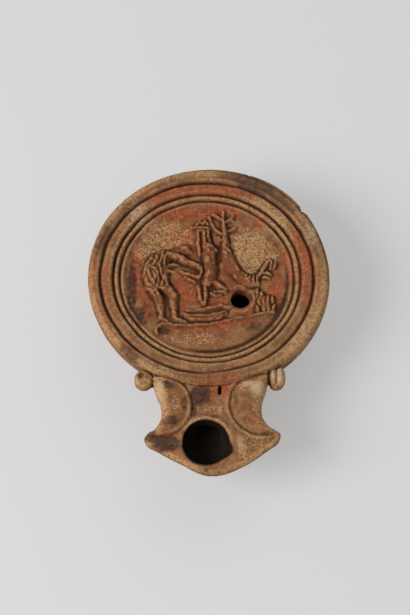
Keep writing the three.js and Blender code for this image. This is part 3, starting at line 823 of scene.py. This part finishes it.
def oil_chamber():
    """The hollow under the disc, a wall inside the bowl, and a little further in near the foot."""
    ceiling = DISC_CENTRE_HEIGHT - WALL
    shoulder = RIM_HEIGHT - 1.5 * WALL
    profile = [(0, WALL), (18, WALL)]
    for height in np.linspace(WALL * 4 / 3, ceiling, 12):
        inner = float(bowl_radius(height)) - 1.1 * WALL - 1.7 * float(smooth(8, 4.5, height))
        profile.append((inner, height))
    profile += [(BODY_RADIUS - 1.6 * WALL, shoulder), (29, shoulder), (DISC_RADIUS, ceiling), (0, ceiling)]
    return turned("oil_chamber", profile, 72)


def channel():
    """The level bore that leads oil to the wick, with rounded edges along it."""
    half_height = (CHANNEL.top - CHANNEL.bottom) / 2
    points = []
    for y in (CHANNEL.root, CHANNEL.end):
        for step in range(32):
            across, up = squarish(step, 32, 0.4)
            x = CHANNEL.x + CHANNEL.half_width * across
            points.append((x, y, CHANNEL.bottom + half_height * (1 + up)))
    return prism("channel", points)


def wick_cut():
    """The wick hole, a little out of round, with a bite broken out of its right side."""
    centre = np.array([WICK_HOLE.x, WICK_HOLE.y])
    profile = [(WICK_HOLE.radius + more, height) for more, height in WICK_WALL]
    profile = [(0, WICK_WALL[0][1]), *profile, (0, WICK_WALL[-1][1])]
    made = turned("wick_hole", profile, 144, tuple(centre))
    for vertex in made.data.vertices:
        place = np.array(vertex.co) / MM
        out = place[:2] - centre
        angle = math.degrees(math.atan2(out[1], out[0]))
        bite = float(smooth(4, -10, angle) * smooth(-52, -22, angle))
        high = float(smooth(22.5, 24.5, place[2]))
        jag = float(noise(np.array([place * (1, 1, 0.2)]), 1.1, 61)[0])
        bite = bite * (WICK_BITE.share + WICK_BITE.jag * jag)
        scale = 1 + high * (bite + WICK_BITE.unround * jag)
        vertex.co.xy = (centre + out * scale) * MM
    return made


def slot_cut():
    """The air slot, narrower at its ends."""
    points = []
    for z in (16, CUT_TOP):
        for step in range(24):
            across, along = squarish(step, 24, 0.6)
            across = AIR_SLOT.width / 2 * across
            along = AIR_SLOT.length / 2 * along
            x = AIR_SLOT.x + across + AIR_SLOT.slant * along
            points.append((x, AIR_SLOT.y + along, z))
    return prism("slot", points)


def bore(name, radius, bottom, segments, centre=(0, 0)):
    profile = [(0, bottom), (radius, bottom), (radius, CUT_TOP), (0, CUT_TOP)]
    return turned(name, profile, segments, centre)


def lamp():
    made = body()
    spout = nozzle()
    cut_or_join(spout, bore("inside_rim", 35, 20.2, 120), "DIFFERENCE")
    added = [spout]
    for side in (-1, 1):
        added += [knob_neck(side), knob_web(side)]
    for tool in added + [left_knob(), right_knob()]:
        cut_or_join(made, tool, "UNION")
    wick_chamber = (WICK_HOLE.x, WICK_HOLE.y, WICK_CHAMBER.z)
    hollows = [
        oil_chamber(),
        channel(),
        ball("wick_chamber", wick_chamber, WICK_CHAMBER.radii),
        wick_cut(),
        bore("filling_hole", FILLING_HOLE.radius, 17, 72, (FILLING_HOLE.x, FILLING_HOLE.y)),
        slot_cut(),
    ]
    for tool in hollows:
        cut_or_join(made, tool, "DIFFERENCE")
    return made


piece = lamp()


# Dirt, wear and stains, with painted shade and a painted highlight

def top_map():
    """Heights of the whole top over its plan."""
    plan = PlanMap((-42, -70), (42, 42), TOP_STEP)
    x = plan.grid_x.ravel()
    y = plan.grid_y.ravel()
    radius = np.hypot(x, y)
    height = np.full(len(x), 22.0)
    plain_y = y + front_swell(x, y)
    half = np.interp(-plain_y, -EDGE[:, 1], EDGE[:, 0], left=0, right=0)
    spout = (np.abs(x) < half) & (y < NOZZLE.root)
    height[spout] = top_of_nozzle(x[spout], plain_y[spout])
    knobs = np.hypot(np.abs(x) - KNOB.x, y - KNOB.y) < KNOB.radius + 0.6
    height[knobs] = np.maximum(height[knobs], KNOB.top - 0.5)
    disc = radius < RIM_CREST_RADIUS
    height[disc] = top_of_disc(x[disc], y[disc])
    rim = ~disc & (np.hypot(x - RIM_OFFSET[0], y - RIM_OFFSET[1]) < BODY_RADIUS)
    share = (radius[rim] - RIM_CREST_RADIUS) / (BODY_RADIUS - RIM_CREST_RADIUS)
    height[rim] = np.maximum(height[rim], RIM_HEIGHT - RIM_DROP * np.clip(share, 0, 1) ** SHOULDER_CURVE)
    plan.values = height.reshape(plan.values.shape)
    return plan


# Stains: ovals (x, y, half width, half length, strength)
DARK_STAINS = [
    (-23.3, -2, 1.6, 12, 0.75), (-21, -12.5, 2.6, 5, 0.7), (-14, -17.6, 2.8, 1.7, 1.0),
    (-3.3, -40.2, 3.4, 3.4, 1.0), (-5.4, -44.4, 1.2, 3.2, 0.75), (-14.2, -55, 4.4, 2.8, 0.9),
    (-18.6, -52.8, 2.6, 2, 0.85), (-12.5, -48, 3.4, 1.6, 0.7), (-12.5, -36.6, 2.4, 1.5, 0.7),
    (-8.2, -43.2, 1.1, 4, 0.6), (9.5, -48.5, 2, 3, 0.4), (7.2, -41, 1, 4, 0.45),
    (17, -52.6, 3.5, 1.6, 0.4), (13.5, -16.5, 6, 2.4, 0.5), (-18.6, -10.5, 2.6, 4, 0.45),
    # The last two ovals below darken the hollows between the carcass and the tree
    (0, -64, 10, 2, 0.4), (1.5, 13.8, 1, 2.2, 0.8), (3.2, 11, 1.5, 1.1, 0.7),
]
RED_STAINS = [
    (0, 22.5, 15, 3.2, 1.0), (16, 20, 5, 4, 0.6), (-4, 13, 9, 6, 0.9), (-21, 2, 2.6, 8, 0.95),
    (-18.5, -9, 3, 6, 0.7), (-6, -4, 5.5, 8, 0.95), (1.5, -8, 6, 3.4, 0.9), (-2, -16.8, 12, 1.4, 1.0),
    (9, -15, 9, 2, 0.85), (6, 2, 6, 9, 0.75), (21, -4, 3, 9, 0.8), (14, -10, 9, 4, 0.6),
    (4.2, -38.4, 2.4, 2.8, 1.0), (1.2, -38.8, 1.1, 2.2, 0.85), (-20.3, -35.4, 1.9, 0.9, 0.6),
    (19.8, -36.2, 2, 0.8, 0.8), (0, -39.6, 1.8, 0.9, 0.9), (-15.8, -57, 5, 0.8, 0.95),
    (-11.5, -51.8, 4.5, 0.7, 0.9), (13, -48.5, 4, 2, 0.5), (18.5, -36, 1.2, 4, 0.6),
    (-13, -38.5, 2, 1.5, 0.5),
]
CRUST_STAINS = [
    (-11, 15.5, 8, 4.6, 0.75), (14, 10, 7.5, 9, 1.0), (-17.5, 10.5, 4.5, 5.5, 0.7),
    (19.5, 9.5, 3.6, 6.5, 0.75), (-4, -20, 11, 2.6, 0.45), (-15.6, -40, 2.6, 6, 1.0),
    (-10.6, -42.6, 1.6, 3, 0.8), (14, -37.4, 3.4, 3, 1.0), (10.5, -37.5, 2.5, 2, 0.7),
    (15, -43, 3, 6, 0.6), (8.8, -57, 1.5, 3.2, 0.9), (1, -44.8, 4.5, 1.6, 0.6), (13, -55, 6, 3, 0.4),
    (20.3, -35, 3, 4, 1.0), (-20.1, -34.5, 3, 3, 0.85),
]
CHALK_STAINS = [
    (14, -38, 2.9, 2.6, 0.72), (11, -36.8, 2.4, 1, 0.6), (16.2, -40.5, 1.2, 2.4, 0.6),
    (20.2, -33.4, 2.8, 3, 0.65), (-15.4, -38.4, 1.6, 3, 0.6), (8, -55, 1.2, 2.4, 0.5),
    (-21.5, 22.5, 4.5, 4.5, 0.45), (33, 15, 2.6, 6, 0.45),
]

# Arcs: (middle in degrees, half span, radius, half width, strength)
RED_ARCS = [
    (90, 34, 31.1, 3, 1.0), (5, 26, 31.1, 3, 1.0), (125, 16, 31.1, 2.4, 0.6), (185, 20, 31.1, 2.4, 0.55),
    (-86, 14, 35.3, 2.2, 0.6), (180, 16, 36.2, 2, 0.55), (205, 14, 35.4, 2.4, 0.6),
    (-142, 14, 35.6, 2.2, 0.6), (12, 20, 25.6, 1.2, 0.8), (85, 40, 25.8, 1.2, 0.5),
]
DARK_ARCS = [
    (64, 20, 35.5, 2.8, 0.85), (47, 14, 35.4, 2.6, 0.7), (-88, 16, 35, 1.8, 0.3),
    (17, 18, 35.6, 2.4, 0.4), (105, 14, 35, 1.6, 0.45), (-133, 7, 35.8, 1.6, 0.75), (158, 14, 35, 2, 0.6),
    (137, 16, 34.4, 1, 0.5), (-40, 22, 30, 1.6, 0.32), (-92, 14, 31, 1.6, 0.25),
]
CRUST_ARCS = [
    (-36, 20, 35.4, 2.6, 0.9), (46, 14, 31, 2.4, 0.9), (136, 12, 31, 2.4, 0.7), (143, 10, 36, 2, 0.5),
    (-150, 16, 35.6, 2.4, 0.45), (-112, 8, 35.6, 2, 0.4), (100, 14, 35.8, 2, 0.35),
    (-92, 16, 31, 2, 0.35),
]
# Places of the fleece and of the leaves: (x, y, half width, half length)
FLEECE_PLACE = [(-16.5, 1.5, 4.5, 5)]
LEAFY_PLACES = [(17.5, -8.5, 4, 4.5), (17, 2, 5, 4.5)]


def spread(x, y, ovals, rings, warp):
    """The most of several stains in ovals and in arcs along the rings, with ragged edges."""
    radius = np.hypot(x, y)
    turn = np.degrees(np.arctan2(y, x))
    best = np.zeros(len(x))
    for centre_x, centre_y, half_x, half_y, strength in ovals:
        away = np.hypot((x - centre_x) / half_x, (y - centre_y) / half_y)
        best = np.maximum(best, strength * smooth(1.35, 0.45, away + 0.45 * warp))
    for middle, half_span, centre, half_width, strength in rings:
        aside = (turn - middle + 180) % 360 - 180
        away = np.hypot(aside / half_span, (radius - centre) / half_width)
        best = np.maximum(best, strength * smooth(1.35, 0.55, away + 0.4 * warp))
    return best


def near_any(x, y, ovals):
    """1 in the middle of any of several ovals (x, y, half width, half length), fading outwards."""
    away = [np.hypot((x - a) / half_x, (y - b) / half_y) for a, b, half_x, half_y in ovals]
    return bump(np.min(away, axis=0))


def sooty(points, normals):
    """Soot in the wick hole, its chamber and the channel, some on its front lip, and a dark oil chamber."""
    x, y, z = points.T
    from_middle = points - (WICK_HOLE.x, WICK_HOLE.y, WICK_CHAMBER.z)
    wick = np.hypot(from_middle[:, 0], from_middle[:, 1])
    reach = np.linalg.norm(from_middle / WICK_CHAMBER.radii, axis=1)
    in_chamber = (reach < 1.1) & ((from_middle * normals).sum(1) < 0)
    inward = (from_middle[:, :2] * normals[:, :2]).sum(1) < 0
    in_hole = (wick < 8.6) & (z > 20) & (z < plate_height(y) - 0.5) & inward
    in_channel = (np.abs(x - CHANNEL.x) < CHANNEL.half_width + 0.1) & (y < CHANNEL.root + 4)
    in_channel &= (y > CHANNEL.end - 0.1) & (z > CHANNEL.bottom - 0.1) & (z < CHANNEL.top + 0.1)
    front_lip = bump((wick - 6.9) / 0.7) * smooth(-3, 4, WICK_HOLE.y - y) * (z > 22)
    outer = np.hypot(x, y) > bowl_radius(np.clip(z, BASE_EDGE, WIDEST_HEIGHT)) - 2.2
    in_bowl = (z > 3) & (z < 22.5) & ~outer & (y > -34)
    soot = np.maximum(1.0 * (in_chamber | in_hole | in_channel), 0.75 * front_lip)
    return np.maximum(soot, 0.8 * in_bowl)


def hollows_shade_and_crests(plan, x, y):
    """How far points lie in hollows of the top, with painted shade inside the disc's lip, and how far they
    stand proud of it.
    """
    level = plan.read(plan.values, x, y)
    close, soft, wide = (plan.read(plan.blurred(reach), x, y) for reach in (0.4, 0.75, 2.0))
    hollow_and_shade = np.clip((soft - level) / 0.4, 0, 1) + 0.35 * np.clip((wide - level) / 0.9, 0, 1)
    hollow_and_shade = np.maximum(hollow_and_shade, 0.9 * np.clip((close - level) / 0.21, 0, 1))
    # Painted shade: the disc's lip is darkened inside at the lower right, where its inner wall lies in shade,
    # and is not darkened at the top, where that wall faces the light
    from_axis = np.hypot(x, y)
    lower_right = np.cos(np.arctan2(y, x) + math.radians(52))
    lip_shade_band = bump((from_axis - 25.1) / 1.1)
    hollow_and_shade = hollow_and_shade * (1 - lip_shade_band * smooth(0.2, -0.2, lower_right))
    hollow_and_shade = hollow_and_shade + 0.8 * lip_shade_band * smooth(0.3, 1, lower_right)
    hollow_and_shade = hollow_and_shade * (1 - 0.4 * smooth(36.5, 38, from_axis) * (y < -30))
    return hollow_and_shade, np.clip((level - soft) / 0.28, 0, 1), level


def read_vectors(items, key):
    values = np.empty(len(items) * 3)
    items.foreach_get(key, values)
    return values.reshape(-1, 3)


def weights(points, normals):
    """Weights on the lamp's points for its stains, dirt, wear and soot, and for painted shade and a painted
    highlight.
    """
    x, y, z = points.T
    from_axis = np.hypot(x, y)
    turn = np.arctan2(y, x)
    warp = rough(points, 5, 71)
    hollow_and_shade, proud, level = hollows_shade_and_crests(top_map(), x, y)
    on_top = smooth(-2.5, -0.8, z - level) * smooth(-0.2, 0.3, normals[:, 2])
    kept = 0.35 + 0.65 * on_top
    dark = kept * spread(x, y, DARK_STAINS, DARK_ARCS, warp)
    red = kept * spread(x, y, RED_STAINS, RED_ARCS, warp)
    wick = np.hypot(x - WICK_HOLE.x, y - WICK_HOLE.y)
    # A painted highlight along the rear lip of the wick hole, which faces the light
    rear_lip_highlight = bump((wick - 7.4) / 0.28) * smooth(1, 4, y - WICK_HOLE.y)
    # Shade beside the knobs and in the eye of the left one
    beside = np.hypot(np.abs(x) - 17.4, y - KNOB.y)
    eye = np.hypot(x - KNOB_EYE.x, y - KNOB_EYE.y)
    shade = smooth(2.4, 1.2, beside) * smooth(25.2, 24, z)
    # Streaks along the rings, fewer where the slip is left
    around = np.stack([np.cos(turn) * 5, np.sin(turn) * 5, from_axis * 1.6], axis=1)
    streak = rough(around, 1.1, 81) * smooth(29, 34, from_axis) * smooth(38.5, 37, from_axis) * on_top
    streak = streak * (1 - 0.7 * np.clip(red, 0, 1))
    # The figures are dark with pale crests, and palest where they are tufted
    raised = RELIEF.read(RELIEF.values, x, y) * (from_axis < DISC_RADIUS)
    figure = on_top * smooth(0.2, 0.75, raised)
    fleece = near_any(x, y, FLEECE_PLACE)
    leafy = near_any(x, y, LEAFY_PLACES)
    tufted = np.maximum(fleece, leafy)
    unstained = (1 - 0.6 * np.clip(red, 0, 1)) * (1 - 0.9 * np.clip(dark, 0, 1))
    crests = np.maximum(smooth(0.35, 1, proud), tufted * proud)
    return {
        # Chalk stains, and the painted highlight on the wick hole's rear lip
        "chalk_and_highlight": on_top * np.maximum(spread(x, y, CHALK_STAINS, [], warp), 0.6 * rear_lip_highlight),
        "dark": dark,
        "red": red,
        "crust": np.maximum(spread(x, y, CRUST_STAINS, CRUST_ARCS, warp), 0.3 * (1 - on_top)),
        "shade": np.maximum(shade, 0.7 * smooth(1.4, 0.5, eye) * (z > 24)),
        "streak": 0.5 + 0.5 * streak,
        "figure": figure * (1 - 0.7 * tufted),
        "worn": on_top * (figure * crests + (1 - figure) * unstained * proud),
        # Dirt in the hollows, with painted shade inside the disc's lip
        "dirt_and_shade": on_top * hollow_and_shade * (1 - 0.6 * fleece + 0.5 * leafy),
        "soot": sooty(points, normals),
    }


def paint(mesh):
    """Keep the weights on the mesh for its material."""
    points = read_vectors(mesh.vertices, "co") / MM
    normals = read_vectors(mesh.vertex_normals, "vector")
    for name, values in weights(points, normals).items():
        layer = mesh.attributes.new(name, "FLOAT", "POINT")
        layer.data.foreach_set("value", np.clip(values, 0, 1).astype(np.float32))


paint(piece.data)


# The clay

class Nodes:
    """A small helper to make and link shader nodes."""

    def __init__(self, material):
        material.use_nodes = True
        self.tree = material.node_tree
        self.tree.nodes.clear()

    def new(self, kind, inputs, **settings):
        """A node with its settings, and each input linked to a socket or set to a number or a colour."""
        node = self.tree.nodes.new(kind)
        for key, value in settings.items():
            setattr(node, key, value)
        for key, value in inputs.items():
            if isinstance(value, bpy.types.NodeSocket):
                self.tree.links.new(value, node.inputs[key])
            else:
                node.inputs[key].default_value = (*value, 1) if isinstance(value, tuple) else value
        return node

    def attribute(self, name):
        return self.new("ShaderNodeAttribute", {}, attribute_name=name).outputs["Fac"]

    def place(self):
        return self.new("ShaderNodeTexCoord", {}).outputs["Object"]

    def grain(self, size, detail=2.0, roughness=0.55):
        """Noise from 0 to 1 with lumps of about the given size in millimetres."""
        inputs = {"Vector": self.place(), "Scale": 1 / (size * MM), "Detail": detail, "Roughness": roughness}
        return self.new("ShaderNodeTexNoise", inputs).outputs["Fac"]

    def centred(self, size, detail=2.0, roughness=0.55):
        """Grain from -0.5 to 0.5."""
        return self.math("SUBTRACT", self.grain(size, detail, roughness), 0.5)

    def dots(self, spacing, reach):
        """Round dots, 1 in their middles, at about the given spacing in millimetres."""
        node = self.new("ShaderNodeTexVoronoi", {"Vector": self.place(), "Scale": 1 / (spacing * MM)})
        return self.ramp(node.outputs["Distance"], reach, 0.5 * reach)

    def math(self, operation, first, second):
        return self.new("ShaderNodeMath", {0: first, 1: second}, operation=operation).outputs[0]

    def product(self, first, second):
        return self.math("MULTIPLY", first, second)

    def ramp(self, value, low, high, to_low=0.0, to_high=1.0):
        """A value drawn out from one range to another, with soft ends."""
        inputs = {"Value": value, "From Min": low, "From Max": high, "To Min": to_low, "To Max": to_high}
        return self.new("ShaderNodeMapRange", inputs, interpolation_type="SMOOTHSTEP").outputs["Result"]

    def mix(self, share, first, second):
        """The first colour with a share of the second over it."""
        return self.new("ShaderNodeMix", {0: share, 6: first, 7: second}, data_type="RGBA").outputs[2]

    def stain(self, name, size, spread=0.5):
        """A stain's weight broken up by grain, so that it ends in specks."""
        grain = self.product(self.centred(size, 4.0, 0.65), 1.6)
        raised = self.math("ADD", self.attribute(name), grain)
        return self.ramp(raised, 0.5 - spread / 2, 0.5 + spread / 2)

    def coats(self, colour, layers):
        """Coats by grain: (colour, grain size, detail, grain where it starts, where it is full, share)."""
        for coat, size, detail, low, high, share in layers:
            colour = self.mix(self.ramp(self.grain(size, detail), low, high, 0, share), colour, coat)
        return colour


TAN = (0.33, 0.155, 0.066)
BROWN = (0.17, 0.074, 0.031)
ORANGE = (0.34, 0.105, 0.038)
RED = (0.385, 0.083, 0.029)
DEEP_RED = (0.21, 0.052, 0.021)
FIGURE = (0.16, 0.047, 0.018)
DARK = (0.047, 0.0215, 0.0165)
CRUST = (0.485, 0.28, 0.127)
# Colour of the chalk stains, and of the painted highlight on the wick hole's rear lip
CHALK_AND_HIGHLIGHT = (0.52, 0.37, 0.23)
PEPPER = (0.12, 0.052, 0.022)
PALE = (0.54, 0.33, 0.155)
CREST = (0.47, 0.23, 0.097)
# Colour of the dirt, and of the painted shade
DIRT_AND_SHADE = (0.038, 0.016, 0.007)
SOOT = (0.016, 0.01, 0.007)

# Coats on the bare clay and on the slip, in the order that Nodes.coats takes
GROUND_COATS = [(BROWN, 5.0, 4.0, 0.35, 0.65, 1), (ORANGE, 2.6, 3.0, 0.5, 0.66, 0.65)]
SLIP_COATS = [
    (DEEP_RED, 1.8, 3.0, 0.42, 0.66, 1),
    (BROWN, 1.3, 3.0, 0.5, 0.38, 0.45),
    (CRUST, 0.7, 2.0, 0.54, 0.66, 0.3),
]


def clay_colour(n):
    """The clay's colour, from the bare clay and its slip up to the dirt, painted shade, a painted highlight
    and soot.
    """
    colour = n.mix(n.stain("red", 1.2, 0.7), n.coats(TAN, GROUND_COATS), n.coats(RED, SLIP_COATS))
    # Pale crust in grains, and dark specks, most where the crust lies
    crust = n.attribute("crust")
    coarse = n.product(n.centred(0.62, 2.0, 0.6), n.ramp(crust, 0.1, 0.7, 1.1, 2.0))
    grains = n.math("ADD", coarse, n.product(n.centred(1.7, 3.0), 1.1))
    grains = n.math("ADD", grains, n.product(crust, 0.5))
    colour = n.mix(n.ramp(grains, 0.12, 0.55, 0, 0.95), colour, CRUST)
    specks = n.product(n.dots(0.66, 0.48), n.ramp(crust, 0.0, 0.6, 0.35, 0.8))
    colour = n.mix(specks, colour, PEPPER)
    # The figures, and streaks along the rings
    figure = n.attribute("figure")
    colour = n.mix(n.product(figure, n.ramp(n.grain(1.0), 0.35, 0.6, 0.96, 0.68)), colour, FIGURE)
    streak = n.attribute("streak")
    colour = n.mix(n.ramp(streak, 0.5, 0.75, 0, 0.85), colour, BROWN)
    colour = n.mix(n.ramp(streak, 0.38, 0.15, 0, 0.5), colour, CRUST)
    colour = n.mix(n.ramp(n.grain(2.2, 4.0, 0.65), 0.52, 0.66, 0, 0.7), colour, BROWN)
    # Stains, wear, dirt, painted shade, a painted highlight and soot
    dark = n.product(n.stain("dark", 1.6, 0.6), n.ramp(n.grain(1.1, 3.0), 0.35, 0.62, 0.97, 0.72))
    colour = n.mix(dark, colour, DARK)
    # Chalk stains, and a painted highlight on the wick hole's rear lip
    colour = n.mix(n.stain("chalk_and_highlight", 1.0, 0.8), colour, CHALK_AND_HIGHLIGHT)
    worn = n.product(n.attribute("worn"), n.ramp(n.grain(0.8), 0.3, 0.6))
    colour = n.mix(n.product(worn, 0.75), colour, n.mix(figure, PALE, CREST))
    # Dirt in the hollows, with painted shade inside the disc's lip at the lower right
    dirt_and_shade = n.math("ADD", n.attribute("dirt_and_shade"), n.product(n.centred(1.2), 0.5))
    colour = n.mix(n.ramp(dirt_and_shade, 0.16, 1.0, 0, 0.93), colour, DIRT_AND_SHADE)
    # Painted shade beside the knobs and in the left knob's eye
    colour = n.mix(n.product(n.attribute("shade"), 0.85), colour, DIRT_AND_SHADE)
    return n.mix(n.ramp(n.attribute("soot"), 0.1, 0.9), colour, SOOT)


def clay():
    material = bpy.data.materials.new("fired_clay")
    n = Nodes(material)
    height = n.math("ADD", n.grain(0.5, 3.0, 0.6), n.product(n.grain(1.6, 2.0), 1.4))
    bumps = n.new("ShaderNodeBump", {"Strength": 0.6, "Distance": 0.25 * MM, "Height": height})
    shader = n.new("ShaderNodeBsdfPrincipled", {
        "Base Color": clay_colour(n),
        "Roughness": n.ramp(n.grain(2.0, 3.0), 0.3, 0.7, 0.62, 0.88),
        "Specular IOR Level": 0.12,
        "Normal": bumps.outputs["Normal"],
    })
    n.new("ShaderNodeOutputMaterial", {"Surface": shader.outputs["BSDF"]})
    return material


SHARP_EDGE = math.radians(48)

piece.data.materials.clear()
piece.data.materials.append(clay())
for polygon in piece.data.polygons:
    polygon.use_smooth = True
piece.data.set_sharp_from_angle(angle=SHARP_EDGE)
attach(piece, "root")
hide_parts("lamp")


# Floor, light and camera. Lights are (name, place, size, power), in metres. The camera's angles are its
# azimuth, elevation and roll, and its focal length is in pixels of the picture.

FLOOR = {"Base Color": (0.36, 0.36, 0.36, 1), "Emission Color": (1, 1, 1, 1), "Emission Strength": 0.345}
FLOOR_FINISH = {"Roughness": 0.9, "Specular IOR Level": 0.1}
LIGHTS = [("key", (-0.7, -0.3, 0.72), 0.6, 8.5), ("fill", (0.3, 0.6, 0.9), 0.9, 1.6)]
SKY = {"Color": (1, 1, 1, 1), "Strength": 0.34}
CAMERA = Sizes(angles=(-3.991, 64.061, 2.56), target=(-0.993, -10.787, 26), distance=560, focal=1825.77)
PICTURE_HEIGHT = 615
SENSOR_WIDTH = 36


def set_sockets(node, settings):
    for name, value in settings.items():
        node.inputs[name].default_value = value


def studio():
    bpy.ops.mesh.primitive_plane_add(size=4, location=(0, 0, 0))
    floor = bpy.context.active_object
    floor.name = "floor"
    paper = bpy.data.materials.new("paper")
    paper.use_nodes = True
    set_sockets(paper.node_tree.nodes["Principled BSDF"], FLOOR | FLOOR_FINISH)
    floor.data.materials.append(paper)
    for name, place, size, power in LIGHTS:
        data = bpy.data.lights.new(name, "AREA")
        data.shape = "DISK"
        data.size = size
        data.energy = power
        light = bpy.data.objects.new(name, data)
        bpy.context.scene.collection.objects.link(light)
        light.location = place
        light.rotation_euler = (-Vector(place)).to_track_quat("-Z", "Y").to_euler()
    world = bpy.data.worlds.new("studio")
    world.use_nodes = True
    set_sockets(world.node_tree.nodes["Background"], SKY)
    bpy.context.scene.world = world


def camera():
    azimuth, elevation, roll = (math.radians(angle) for angle in CAMERA.angles)
    place = Matrix.Translation(Vector(CAMERA.target) * MM)
    for angle, axis in ((azimuth, "Z"), (math.pi / 2 - elevation, "X"), (roll, "Z")):
        place = place @ Matrix.Rotation(angle, 4, axis)
    data = bpy.data.cameras.new("camera")
    data.sensor_width = SENSOR_WIDTH
    data.lens = CAMERA.focal * SENSOR_WIDTH / PICTURE_HEIGHT
    data.clip_start = 0.01
    made = bpy.data.objects.new("camera", data)
    bpy.context.scene.collection.objects.link(made)
    made.matrix_world = place @ Matrix.Translation((0, 0, CAMERA.distance * MM))
    bpy.context.scene.camera = made


studio()
camera()
bpy.context.scene.view_settings.view_transform = "Standard"
